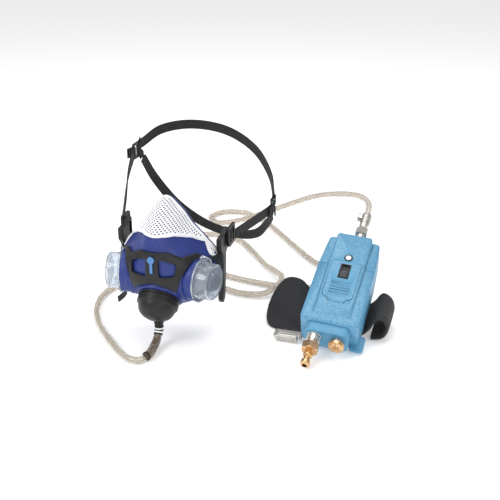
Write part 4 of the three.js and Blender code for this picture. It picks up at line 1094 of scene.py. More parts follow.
@dataclass(frozen=True)
class MaskForm:
    """The mask's outside: the seal's outline, and a section that closes to the front."""

    outline: tuple[Pair, ...] = ((0, 49), (12, 40), (25, 22), (38, 6), (49, -8), (52, -25), (49, -42),
                                 (38, -56), (20, -68), (0, -72))
    section: tuple[Pair, ...] = ((0, -58.5), (0.25, -58), (0.45, -54.5), (0.62, -47.5), (0.78, -36),
                                 (0.9, -24), (0.98, -12), (1, -6), (0.98, -1), (0.9, 3), (0.74, 5))
    centre_z: float = -15.0
    nose_forward: float = 7.0
    mean_radius: float = 52.0

    def reach(self, angle: float) -> float:
        """Distance from the outline's centre to the seal, at an angle from straight up."""
        polar = [(math.atan2(x, z - self.centre_z), math.hypot(x, z - self.centre_z)) for x, z in self.outline]
        a = abs(math.atan2(math.sin(angle), math.cos(angle)))
        k = 0
        while k + 2 < len(polar) and polar[k + 1][0] < a:
            k += 1
        last = len(polar) - 1

        def pick(i: int) -> Pair:
            """Knot of the outline, mirrored past its two ends."""
            if i < 0:
                return (-polar[-i][0], polar[-i][1])
            if i > last:
                return (2 * math.pi - polar[2 * last - i][0], polar[2 * last - i][1])
            return polar[i]

        (a0, r0), (a1, r1), (a2, r2), (a3, r3) = (pick(k + i) for i in (-1, 0, 1, 2))
        t = (a - a1) / (a2 - a1)
        m1 = (r2 - r0) / (a2 - a0) * (a2 - a1)
        m2 = (r3 - r1) / (a3 - a1) * (a2 - a1)
        return (r1 * (2 * t**3 - 3 * t**2 + 1) + m1 * (t**3 - 2 * t**2 + t)
                + r2 * (3 * t**2 - 2 * t**3) + m2 * (t**3 - t**2))

    def offset(self, distance: float, count: int) -> list[Pair]:
        """The first points of the outside section, moved out by a distance."""
        points = self.section[:count]
        out: list[Pair] = []
        for i, (f, y) in enumerate(points):
            before, after = points[max(i - 1, 0)], points[min(i + 1, count - 1)]
            run = Vector(((after[0] - before[0]) * self.mean_radius, after[1] - before[1])).normalized()
            out.append((0.0 if i == 0 else f + run.y * distance / self.mean_radius, y - run.x * distance))
        return out

    def dense(self, points: Sequence[Pair], steps: int = 5) -> list[Pair]:
        """The same section with a smooth curve between its points."""
        line = smooth_path([(f * self.mean_radius, y, 0) for f, y in points], steps)
        return [(max(p.x, 0.0) / self.mean_radius, p.y) for p in line]

    def spot(self, fraction: float, y: float, angle: float) -> Vector:
        """Point of the mask for a section point at an angle."""
        reach = self.reach(angle) * fraction
        forward = self.nose_forward * fraction**3 * max(0.0, math.cos(angle)) ** 2
        return Vector((reach * math.sin(angle), y - forward, self.centre_z + reach * math.cos(angle)))

    def shell(self, outside: Sequence[Pair], inside: Sequence[Pair], segments: int = 144) -> Shape:
        """Closed body between two sections."""
        profile = [*outside, *reversed(list(inside))]
        angles = [2 * math.pi * j / segments for j in range(segments)]
        rings = []
        for f, y in profile:
            if f < 1e-6:
                rings.append([self.spot(0, y, 0)])
            else:
                rings.append([self.spot(f, y, a) for a in angles])
        return Shape().rings(rings, closed=len(rings[0]) > 1)

    def over(self, x: float, z: float, cover: Sequence[Pair]) -> Vector:
        """Point of a dense section that lies straight in front of (x, z).

        Args:
            x: Across the face.
            z: Up the face.
            cover: The section as (fraction, y), going outwards.

        Returns:
            The point in millimetres.
        """
        angle = math.atan2(x, z - self.centre_z)
        fraction = math.hypot(x, z - self.centre_z) / self.reach(angle)
        k = 0
        while k + 2 < len(cover) and cover[k + 1][0] < fraction:
            k += 1
        (f0, y0), (f1, y1) = cover[k], cover[k + 1]
        share = min(max((fraction - f0) / max(f1 - f0, 1e-6), 0.0), 1.0)
        forward = self.nose_forward * fraction**3 * max(0.0, math.cos(angle)) ** 2
        return Vector((x, y0 + (y1 - y0) * share - forward, z))


def side_place(side: int) -> Place:
    """Axis of an exhale port: its origin is the cover flange's inner face."""
    yaw = math.radians(80)
    return facing(Vector((side * 41.5, -35, -28)), Vector((side * math.sin(yaw), -math.cos(yaw), 0)))


TILT = math.radians(48.5)
INLET = facing(Vector((0, -47, -50)), Vector((0, -math.sin(TILT), -math.cos(TILT))))


@dataclass
class Facepiece:
    """Rubber shell, net nose cover, harness yoke and the peg that joins them."""

    frame: dict
    finish: Finishes
    repeats: Repeats
    form: MaskForm = field(default_factory=MaskForm)
    wall: float = 2.6
    boss_radius: float = 23.5
    bore_radius: float = 18.3
    inlet_boss_radius: float = 24.0
    inlet_bore_radius: float = 16.5
    net_cell: Pair = (1.0, 0.95)
    net_flat: Pair = (0.150, 0.060)
    net_thickness: float = 0.55

    def ports(self, solid: Solid, radius: float) -> Solid:
        """Clear both exhale ports out of a solid."""
        return solid.act(Cut.REMOVE, *(rod(radius, -36, 40, side_place(s)) for s in (1, -1)))

    def shell(self) -> bpy.types.Object:
        """The blue rubber shell with its three port bosses and feathered lip."""
        form = self.form
        inner = form.offset(-self.wall, 7)
        lip = [(0.95, -7), (0.94, -3), (0.87, 0.8), (0.74, 2.6)]
        solid = Solid(form.shell(form.dense(form.section), form.dense([*inner, *lip])))
        hollow = [*form.dense(inner), (0.7, 12), (0, 12)]
        for side in (1, -1):
            place = side_place(side)
            boss = Solid(rod(self.boss_radius, -26, -9.3, place)).act(Cut.REMOVE, form.shell(hollow, []))
            solid = self.union(solid, boss).act(Cut.REMOVE, rod(self.bore_radius, -34, 30, place),
                                                rod(self.boss_radius - 0.2, -9.3, 30, place))
        radius = self.inlet_boss_radius
        cone = Shape().turned([(0, -16), (radius + 3, -16), (radius, -2.6), (0, -2.6)], INLET)
        boss = Solid(cone).act(Cut.REMOVE, form.shell(hollow, []))
        solid = self.union(solid, boss).act(Cut.REMOVE, rod(self.inlet_bore_radius, -24, 30, INLET),
                                            rod(radius - 1, -2.6, 30, INLET))
        made = solid.moulded("mask_shell", [self.finish.rubber], 0.8, 5)
        return mounted(made, "blue_rubber", "facepiece")

    @staticmethod
    def union(solid: Solid, other: Solid, how: Cut = Cut.JOIN) -> Solid:
        """Join two solids, or cut one with the other."""
        step = solid.body.modifiers.new("join", "BOOLEAN")
        step.operation = how.value
        step.solver = "MANIFOLD"
        step.object = other.body
        mesh = evaluated(solid.body, "solid")
        bpy.data.objects.remove(other.body)
        solid.body = bpy.data.objects.new("solid", mesh)
        bpy.context.scene.collection.objects.link(solid.body)
        return solid

    def yoke(self) -> bpy.types.Object:
        """The black yoke with two windows and a slotted arm at each side."""
        form, thickness = self.form, 3.0
        edge = [(0, 7), (14, 6), (26, -1), (36, 0), (42, -4), (47, -9), (70, -9), (70, -50), (44, -52)]
        solid = Solid(form.shell(form.dense(form.offset(GAP + thickness, 8)), form.dense(form.offset(GAP, 8))))
        solid.act(Cut.KEEP, Shape().extruded(both_sides(edge), -80, -4, FRONT_PLANE))
        window = [(6.6, -1.2), (8, 0.2), (21.5, -4.6), (23, -6.5), (22.5, -15.5), (21, -17), (8.5, -18.3), (7, -16.8)]
        for side in (1, -1):
            outline = [(side * x, z) for x, z in window][::-side]
            solid.act(Cut.REMOVE, Shape().extruded(outline, -80, -30, FRONT_PLANE))
        self.ports(solid, self.boss_radius + GAP)
        solid.act(Cut.REMOVE, rod(self.inlet_boss_radius + 3 + GAP, -30, 20, INLET))
        arm = [(-14, 8), (-2, 9), (8, 14), (11, 12), (11, -8), (3, -12), (1, -40), (-2, -62), (-8, -65),
               (-11, -60), (-8, -40), (-8, -12), (-14, -4)]
        for side in (1, -1):
            low, high = sorted((side * 50.5, side * 56))
            plate = Solid(Shape().extruded(arm, low, high, SIDE_PLANE))
            plate.act(Cut.REMOVE, Shape().extruded([(4, 9), (8, 9), (8, -5), (4, -5)], low - 1, high + 1, SIDE_PLANE))
            solid = self.union(solid, plate)
        under = form.shell([*form.dense(form.offset(GAP, 11)), (0, 20)], [])
        solid.act(Cut.REMOVE, under)
        net = Solid(form.shell([*form.dense(form.offset(2 * GAP + 1.2, 8)), (0, 20)], []))
        net.act(Cut.KEEP, Shape().extruded([(-90, -7.3), (90, -7.3), (90, 70), (-90, 70)], -40, 0, FRONT_PLANE))
        solid = self.ports(self.union(solid, net, Cut.REMOVE), self.boss_radius + GAP)
        made = solid.moulded("yoke_frame", [self.finish.black], 0.6, 4)
        return mounted(made, "black_plastic", "harness_yoke")

    @staticmethod
    def hem_height(x: float) -> float:
        """Height of the net's lower edge at a distance from the middle."""
        knots = [(0, 20), (8, 19.6), (16, 18.5), (29, 12), (39, 4), (46, -7), (52, -14)]
        x = abs(x)
        for (x0, z0), (x1, z1) in zip(knots, knots[1:]):
            if x <= x1:
                return z0 + (z1 - z0) * (x - x0) / (x1 - x0)
        return knots[-1][1]

    def net_row(self, z: float, cover: Sequence[Pair]) -> list[Vector]:
        """Line over the mask at one height, from the middle to the seal.

        Args:
            z: The height.
            cover: Dense section of the covered surface.

        Returns:
            Points at equal steps of one cell, measured along the surface.
        """
        form = self.form
        rise = abs(z - form.centre_z)
        line = [form.over(0, z, cover)]
        for fraction, y in cover:
            low, high = 0.0, 90.0
            for _ in range(26):
                x = (low + high) / 2
                if math.hypot(x, rise) > fraction * form.reach(math.atan2(x, z - form.centre_z)):
                    high = x
                else:
                    low = x
            if low > line[-1].x + 1e-3:
                line.append(form.spot(fraction, y, math.atan2(low, z - form.centre_z)))
        return evenly(line, max(int(run_length(line) / self.net_cell[0]) + 1, 2))

    def net_heights(self, cover: Sequence[Pair]) -> list[float]:
        """Heights of the net's rows: equal steps along the surface, up the middle of the nose."""
        top = evenly([self.form.spot(f, y, 0) for f, y in cover if f > 0.2], 400)
        heights, run, z = [], 0.0, -7.0
        while z < top[0].z:
            heights.append(z)
            z += self.net_cell[1]
        for before, after in zip(top, top[1:]):
            run += (after - before).length
            if run >= self.net_cell[1]:
                heights.append(after.z)
                run = 0.0
        return heights

    def net(self) -> bpy.types.Object:
        """The white knitted nose cover with its rows of holes and its plain hem."""
        cover = self.form.dense(self.form.offset(GAP + 0.75, 8))
        shape = Shape()
        rows = []
        for z in self.net_heights(cover):
            right = self.net_row(z, cover)
            first = len(shape.points)
            shape.points.extend([Vector((-p.x, p.y, p.z)) for p in reversed(right[1:])] + right)
            rows.append((first, len(right) - 1))
        step_x, step_z = self.net_cell
        for j, ((first0, n0), (first1, n1)) in enumerate(zip(rows, rows[1:])):
            reach = min(n0, n1)
            for i in range(-reach, reach):
                spots = (first0 + n0 + i, first0 + n0 + i + 1, first1 + n1 + i + 1, first1 + n1 + i)
                middle = sum((shape.points[k] for k in spots), Vector()) / 4
                above = middle.z - self.hem_height(middle.x)
                if above < 0.9:
                    continue
                plain = above < 2.6 or reach - abs(i + 0.5) < 2.5
                if j % 2 == 0 and (i + j) % 4 in (0, 1) and not plain:
                    continue
                u, v = i * step_x, j * step_z
                shape.face(spots, ((u, v), (u + step_x, v), (u + step_x, v + step_z), (u, v + step_z)))
        made = shape.piece("net_cover", [self.finish.net], Smoothing.SOFT)
        thick = made.modifiers.new("thick", "SOLIDIFY")
        thick.thickness = self.net_thickness * MM
        thick.offset = 0
        fine = made.modifiers.new("fine", "SUBSURF")
        fine.levels = fine.render_levels = 1
        body = evaluated(made, "net")
        whole = gathered("net_cover", [body, self.hem(cover)], [self.finish.net], Smoothing.SOFT)
        mounted(whole, "white_net", "nose_cover")
        return whole

    def hem(self, cover: Sequence[Pair]) -> bpy.types.Mesh:
        """The folded hem round the whole net."""
        inset, k = 1.3, len(cover) - 1
        while math.dist((cover[k][0] * self.form.mean_radius, cover[k][1]),
                        (cover[-1][0] * self.form.mean_radius, cover[-1][1])) < inset:
            k -= 1
        fraction, y = cover[k]
        edge = []
        for i in range(-100, 101):
            x = i * 0.5
            z = self.hem_height(x) + inset
            rise = z - self.form.centre_z
            if math.hypot(x, rise) < fraction * self.form.reach(math.atan2(x, rise)):
                edge.append(self.form.over(x, z, cover))
        rim = []
        for i in range(161):
            spot = self.form.spot(fraction, y, math.radians(100.0 - 200.0 * i / 160))
            if spot.z > self.hem_height(spot.x) + inset:
                rim.append(spot)
        loop = evenly([*edge, *rim, edge[0]], 460)[:-1]
        section = rounded(-1.5, 1.5, -0.45, 0.45, 0.4, 3)
        rings = []
        for i, spot in enumerate(loop):
            ahead = (loop[(i + 1) % len(loop)] - loop[i - 1]).normalized()
            out = Vector((spot.x, -14, (spot.z - self.form.centre_z) * 0.8)) if spot.y > -20 else Vector(
                (spot.x, -60 + spot.y, (spot.z - self.form.centre_z) * 0.8))
            out = (out - ahead * out.dot(ahead)).normalized()
            across = ahead.cross(out)
            rings.append([spot + across * a + out * b for a, b in section])
        made = Shape().rings(rings, closed=True).piece("hem", [], Smoothing.SOFT)
        return evaluated(made, "hem")

    def build(self) -> None:
        """Make every piece of the facepiece."""
        self.shell()
        self.yoke()
        self.net()
        mounted(softened(self.frame, "front_peg", "yoke_peg", [self.finish.peg], 0.5, 3), "peg_plastic", "front_peg")


# ------------------------------------------------------------------ valves


@dataclass
class Valves:
    """Both exhale ports under clear covers, and the inhale port in its cup."""

    frame: dict
    finish: Finishes
    repeats: Repeats
    flange_radius: float = 22.8
    cover_radius: float = 18.6
    cover_length: float = 15.5
    cover_wall: float = 1.8
    cup_radius: float = 21.0

    def cover(self, name: str, side: int) -> bpy.types.Object:
        """Clear bayonet cover with vents below and two finger notches."""
        place, r, f, length = side_place(side), self.cover_radius, self.flange_radius, self.cover_length
        inner = r - self.cover_wall
        profile = [(inner, 0), (f - 0.5, 0), (f, 0.4), (f, 1.6), (f - 0.5, 2), (r + 0.7, 2.1), (r, 2.8),
                   (r, length - 2.2), (r - 0.35, length - 1), (r - 1.2, length), (r - 3.0, length),
                   (r - 3.2, length - 0.5), (r - 7.4, length - 0.5), (r - 7.6, length - 0.1), (r - 8.2, length - 0.1),
                   (r - 8.4, length - 0.5), (0, length - 0.5), (0, length - self.cover_wall),
                   (inner - 0.8, length - self.cover_wall), (inner, length - self.cover_wall - 0.8), (inner, 0)]
        solid = Solid(Shape().turned(profile, place, 112))
        for x in (-4, 4):
            solid.act(Cut.REMOVE, rod(1.2, length - 4, length + 2, place.moved(x, 0, 10.5), 20))
        for i in range(4):
            a = math.radians(150 + 20 * i)
            x_axis = place.x * math.cos(a) - place.z * math.sin(a)
            z_axis = place.x * math.sin(a) + place.z * math.cos(a)
            turned = Place(place.origin, x_axis, place.y, z_axis)
            solid.act(Cut.REMOVE, Shape().extruded(rounded(-1.5, 1.5, 4.6, 11.4, 1.2), r - 4, r + 4, turned))
        tab = Shape().extruded(rounded(-2.5, 2.5, 0.05, 1.95, 0.6), f - 0.6, f + 3.0, place)
        solid.act(Cut.JOIN, tab)
        mesh = evaluated(solid.body, "cover")
        grips = self.repeats.ribs_at(place.moved(0, 1.0, 0), 72, f - 0.1, (0.5, 1.2, 0.9), self.finish.clear)
        made = gathered(f"{name}_cover_clear", [mesh, grips], [self.finish.clear])
        return mounted(made, "clear_plastic", f"{name}_valve_cover", body=f"{name}_cover")

    def flap(self, name: str, place: Place, radius: float, start: float, node: str, body: str) -> None:
        """Thin valve flap with a button in its middle and two moulded rings."""
        profile = [(0, start), (radius - 0.3, start), (radius, start + 0.3), (radius, start + 0.7),
                   (radius - 0.3, start + 1), (radius * 0.72, start + 0.75), (radius * 0.70, start + 1),
                   (radius * 0.66, start + 1), (radius * 0.64, start + 0.75), (3.4, start + 0.8), (2.4, start + 1.2),
                   (2.2, start + 1.8), (1.6, start + 2), (0, start + 2)]
        made = Shape().turned(profile, place, 72).piece(name, [self.finish.flap], Smoothing.MOULDED)
        mounted(made, "soft_rubber", node, body=body)

    def cup(self) -> None:
        """Black inlet cup with a stepped rim, finger ribs and a spout."""
        r = self.cup_radius
        inner = [(r - 3, 5), (r - 5.8, 12.4), (r - 9.8, 17.4), (0, 20.5)]
        profile = [(r - 2.4, 0), (r - 0.5, 0), (r, 0.5), (r, 6.9), (r - 0.5, 7.5), (r - 1.5, 7.8), (r - 1.8, 8.8),
                   (r - 2.4, 11.4), (r - 3.6, 14.2), (r - 5.6, 17.0), (r - 8.8, 19.4), (r - 13, 21.2), (0, 22.4),
                   *reversed(inner), (r - 2.4, 0)]
        down = facing(Vector((0, -50, -75.5)), Vector((0, 0, 1)))
        hollow = Shape().turned([(0, -2), (r - 2.4, -2), *inner], INLET)
        spout = Solid(Shape().turned([(0, 0), (4.4, 0), (5, 0.6), (5, 1.6), (4.6, 2), (4.6, 2.6), (5, 3), (5, 22),
                                      (0, 22)], down)).act(Cut.REMOVE, hollow)
        solid = Facepiece.union(Solid(Shape().turned(profile, INLET, 112)), spout)
        solid.act(Cut.REMOVE, rod(2.2, -1, 22, down, 32), rod(3.5, -1, 3, down, 40))
        mesh = evaluated(solid.body, "cup")
        ribs = self.repeats.ribs_at(INLET.moved(0, 3.8, 0), 64, r - 0.1, (0.5, 4.4, 0.8), self.finish.black)
        mounted(gathered("inlet_cup_body", [mesh, ribs], [self.finish.black]), "black_plastic", "inlet_cup")
        barb = Shape().turned([(1.8, 0), (2.9, 0), (3.2, 0.5), (3.2, 1.2), (2.9, 1.5), (3.2, 2), (3.2, 4.1),
                               (1.8, 4.1), (1.8, 0)], facing(Vector((0, -50, -77)), Vector((0, 0, 1))), 48)
        mounted(barb.piece("inlet_barb_body", [self.finish.black]), "black_plastic", "inlet_barb")

    def build(self) -> None:
        """Make the covers, flaps, seats and cup."""
        for name, side in (("left", 1), ("right", -1)):
            self.cover(name, side)
            self.flap(f"{name}_flap_disc", side_place(side), 14.5, -4.2, f"{name}_exhale_valve", f"{name}_flap")
            mounted(softened(self.frame, f"{name}_valve_seat", f"{name}_seat_ring", [self.finish.rubber], 0.3),
                    "blue_rubber", f"{name}_valve_seat")
        inward = facing(INLET.origin, -INLET.y)
        self.flap("inhale_flap_disc", inward, 12.8, 5.3, "inhale_valve", "inhale_flap")
        mounted(softened(self.frame, "inlet_seat", "inlet_spider", [self.finish.black], 0.3), "black_plastic",
                "inlet_seat")
        self.cup()


# ------------------------------------------------------------------ head harness


@dataclass
class HeadHarness:
    """Webbing straps and bands, their buckles and slides, with sewn ends."""

    frame: dict
    finish: Finishes
    repeats: Repeats
    width: float = 11.0
    thickness: float = 1.6
    centre: Pair = (0.0, 92.0)

    def frames(self, route: Sequence[Triple], steps: int) -> tuple[list[Vector], list[Vector]]:
        """Middle line of a band and the way its face looks.

        Args:
            route: Points the band passes through.
            steps: Number of points wanted.

        Returns:
            The line and its outward directions.
        """
        line = evenly(smooth_path(route, 24), steps)
        outs = []
        for i, spot in enumerate(line):
            ahead = (line[min(i + 1, steps - 1)] - line[max(i - 1, 0)]).normalized()
            out = Vector((spot.x - self.centre[0], spot.y - self.centre[1], 0))
            outs.append((out - ahead * out.dot(ahead)).normalized())
        return line, outs

    def band(self, name: str, node: str, route: Sequence[Triple], steps: int, width: float | None = None) -> None:
        """One band with a thin selvedge at each edge and sewn ends."""
        line, outs = self.frames(route, steps)
        w, t = (width or self.width) / 2, self.thickness / 2
        section = [(-w, -t * 0.4), (-w + 0.35, -t), (-w + 1.3, -t * 0.86), (0, -t * 0.9), (w - 1.3, -t * 0.86),
                   (w - 0.35, -t), (w, -t * 0.4), (w, t * 0.4), (w - 0.35, t), (w - 1.3, t * 0.86), (0, t * 0.9),
                   (-w + 1.3, t * 0.86), (-w + 0.35, t), (-w, t * 0.4)]
        body = Shape().swept(line, section, outs).piece(name, [self.finish.webbing], Smoothing.MOULDED)
        meshes = [evaluated(body, name)]
        for end in (0, 1):
            k = 2 if end == 0 else len(line) - 3
            ahead = (line[k + 1] - line[k - 1]).normalized()
            across = ahead.cross(outs[k])
            for shift in (0.0, 2.6):
                base = line[k] + ahead * (shift if end == 0 else -shift) + outs[k] * t * 0.95
                row = [base + across * a for a in (-w + 1.6, 0, w - 1.6)]
                meshes.append(self.repeats.stitches_at(row, 1.5, (0.45, 0.45, 1.0), self.finish.stitch))
        mounted(gathered(f"{name}_webbing", meshes, [self.finish.webbing], Smoothing.MOULDED), "black_webbing", node)

    def wraps(self, name: str, middle: Triple, lean: float) -> None:
        """Webbing folded round a slide's bars: one fold in front and two behind.

        Args:
            name: The side.
            middle: The slide's centre.
            lean: Its turn about the vertical, in degrees.
        """
        turn = Matrix.Rotation(math.radians(lean), 3, "Z")
        meshes = []
        for end, width, base, drop in ((-1, 11, 0, 0.0), (1, 7, 3.2, 0.75), (1, 7, -3.2, -1.15)):
            fold = [(-3.4, 15), (-2.9, 11), (-2.1, 7.5), (-1.7, 5.2), (0, 4.1), (1.7, 5.2), (2.1, 7.5), (0.4, 11),
                    (-0.6, 15)]
            fold = [(u + (2.2 if end == 1 else 0) * (v > 8), v) for u, v in fold]
            line = [Vector(middle) + turn @ Vector((u, end * v, base + drop * max(v - 7, 0))) for u, v in fold]
            line = evenly(smooth_path([tuple(p) for p in line], 10), 60)
            outs = []
            for i in range(60):
                ahead = (line[min(i + 1, 59)] - line[max(i - 1, 0)]).normalized()
                outs.append(ahead.cross(Vector((0, 0, 1))).normalized())
            shape = Shape().swept(line, rounded(-width / 2, width / 2, -0.6, 0.6, 0.4, 3), outs)
            meshes.append(evaluated(shape.piece("fold", []), "fold"))
        mounted(gathered(f"{name}_folds", meshes, [self.finish.webbing], Smoothing.MOULDED), "black_webbing")

    def build(self) -> None:
        """Make every band, buckle and slide."""
        self.band("left_side", "left_strap", [(62, 15, 4), (65, 32, 3.5), (70.5, 62, 2), (75.8, 94, 0.5)], 50)
        self.band("right_side", "right_strap", [(-63, 15, 6), (-66.5, 30, 18), (-72, 55, 42), (-77.5, 84, 56)], 50)
        self.band("crown", "crown_band", [(-77.5, 108, 62), (-66, 142, 70), (-38, 172, 70), (0, 184, 62),
                                          (38, 172, 46), (64, 146, 25), (75.5, 120, 9)], 120)
        self.band("nape", "nape_band", [(-75.5, 106, 45), (-70, 126, 14), (-50, 148, -26), (-18, 160, -52),
                                        (18, 160, -60), (48, 146, -50), (66, 130, -28), (75, 117, -13)], 120)
        self.wraps("left", (77, 106, 0), 8)
        self.wraps("right", (-79, 95, 57), -2)
        line = evenly(smooth_path([(-55, -6, -68), (-59, -4, -74), (-66, -3, -81)], 12), 24)
        outs = [(Vector((p.x, p.y - 40, 0))).normalized() for p in line]
        tab = Shape().swept(line, rounded(-3.5, 3.5, -0.8, 0.8, 0.6, 3), outs)
        mounted(tab.piece("pull_tab_webbing", [self.finish.webbing], Smoothing.MOULDED), "black_webbing",
                "lower_pull_tab")
        for node in ("left_buckle", "right_buckle", "left_cradle_slide", "right_cradle_slide"):
            made = softened(self.frame, node, f"{node}_frame", [self.finish.black], 0.45, 3)
            mounted(made, "black_plastic", node)


# ------------------------------------------------------------------ air line

HOSE_ROUTE: tuple[Triple, ...] = (
    (-1.6, -87, -95.9), (-5, -91, -96.1), (-15, -91.5, -96.1), (-31, -81, -96.1), (-54, -59, -96.1),
    (-77, -32, -96.1), (-93, -3, -96.1), (-100, 30, -96.1), (-92, 60, -96.1), (-66, 84, -96.1),
    (-30, 92, -96.1), (10, 88, -96.1), (50, 76, -96.1), (76, 80, -94.5), (88, 96, -90), (88, 114, -88.6),
    (76, 134, -92), (56, 158, -96.1), (28, 195, -96.1), (4, 222, -96.1), (-26, 234, -96.1), (-56, 222, -96.1),
    (-66, 194, -96.1), (-54, 164, -96.1), (-24, 138, -96.1), (10, 119, -96.1), (48, 109, -96.1),
    (84, 106, -96.1), (118, 110, -96.1), (142, 122, -96.1), (148, 145, -96.1), (135, 166, -96.1),
    (112, 183, -96.1), (72, 230, -96.1), (34, 278, -96.1), (10, 304, -96.1), (-20, 320, -96.1),
    (-48, 312, -96.1), (-58, 288, -96.1), (-40, 270, -95), (-12, 268, -88), (16, 266, -76), (46, 258, -60),
    (74, 244, -43), (100, 226, -27), (124, 208, -15), (146, 192, -7), (164, 176, -2), (176, 158, -0.5),
    (180.6, 142, -2.5),
)
GUARD_ROUTE: tuple[Triple, ...] = ((0, -50, -77.3), (0, -50, -79), (0, -51.5, -84), (0, -58, -91),
                                   (0, -70, -94.6), (0.2, -80, -94.9), (-1.2, -85.2, -94.9))


def carried_ups(line: Sequence[Vector]) -> list[Vector]:
    """Directions square to a line that never twist round it."""
    ahead = (line[1] - line[0]).normalized()
    up = ahead.orthogonal().normalized()
    ups = [up]
    for i in range(1, len(line)):
        new = (line[min(i + 1, len(line) - 1)] - line[i - 1]).normalized()
        up = ahead.rotation_difference(new) @ up
        up = (up - new * up.dot(new)).normalized()
        ups.append(up)
        ahead = new
    return ups


def wall_tube(line: Sequence[Vector], outer: float, inner: float, sides: int) -> Shape:
    """Hollow tube with a real wall and flat ends."""
    ups = carried_ups(line)
    rings = []
    for radius, order in ((outer, 1), (inner, -1)):
        part = []
        for i, centre in enumerate(line):
            ahead = (line[min(i + 1, len(line) - 1)] - line[max(i - 1, 0)]).normalized()
            across = ahead.cross(ups[i])
            part.append([centre + across * a + ups[i] * b for a, b in circle(radius, sides)])
        rings.extend(part[::order])
    return Shape().rings(rings, closed=True)


@dataclass
class AirLine:
    """The clear hose and the wound guard where it leaves the mask."""

    finish: Finishes
    outer: float = 3.5
    inner: float = 2.35
    guard_wire: float = 0.42
    guard_radius: float = 3.95
    guard_pitch: float = 1.9

    def hose(self) -> None:
        """The hollow hose along its whole route."""
        route = [*HOSE_ROUTE, tuple(UNIT.at(3, 161.3, -6))]
        path = smooth_path(route, 24)
        length = run_length(path)
        line = evenly(path, int(length / 2.4))
        made = wall_tube(line, self.outer, self.inner, 20).piece("hose_tube", [self.finish.pvc], Smoothing.MOULDED)
        mounted(made, "hose_pvc", "air_hose")
        LOG.info("hose length %.0f mm", length)

    def guard(self) -> None:
        """Wire wound round a sleeve, with five hard rings near the mask end and one near the far end."""
        line = evenly(smooth_path(GUARD_ROUTE, 24), 260)
        sleeve = wall_tube(line, 3.3, 2.3, 28).piece("guard_sleeve_tube", [self.finish.ribbed], Smoothing.MOULDED)
        mounted(sleeve, "hose_pvc", "hose_guard")
        fine = evenly(line, 1300)
        ups, length = carried_ups(fine), run_length(fine)
        coil = []
        for i, centre in enumerate(fine):
            ahead = (fine[min(i + 1, len(fine) - 1)] - fine[max(i - 1, 0)]).normalized()
            a = 2 * math.pi * length * i / (len(fine) - 1) / self.guard_pitch
            coil.append(centre + (ups[i] * math.cos(a) + ahead.cross(ups[i]) * math.sin(a)) * self.guard_radius)
        coil = coil[320:-6]
        wire = Shape().swept(coil, circle(self.guard_wire, 7), carried_ups(coil))
        mounted(wire.piece("guard_spring", [self.finish.wire], Smoothing.MOULDED), "steel")
        for i, at in enumerate((8, 20, 32, 44, 56, 250)):
            material, slot = ((self.finish.white, "white_plastic") if i in (1, 3)
                              else (self.finish.black, "black_plastic"))
            ahead = (line[at + 1] - line[at - 1]).normalized()
            ring = Shape().turned([(3.35, -0.9), (4.5, -0.9), (4.7, -0.6), (4.7, 0.6), (4.5, 0.9), (3.35, 0.9),
                                   (3.35, -0.9)], facing(line[at], ahead), 40)
            mounted(ring.piece(f"guard_ring_{i + 1}", [material]), slot)

    def build(self) -> None:
        """Make the hose and its guard."""
        self.hose()
        self.guard()


# ------------------------------------------------------------------ belt unit


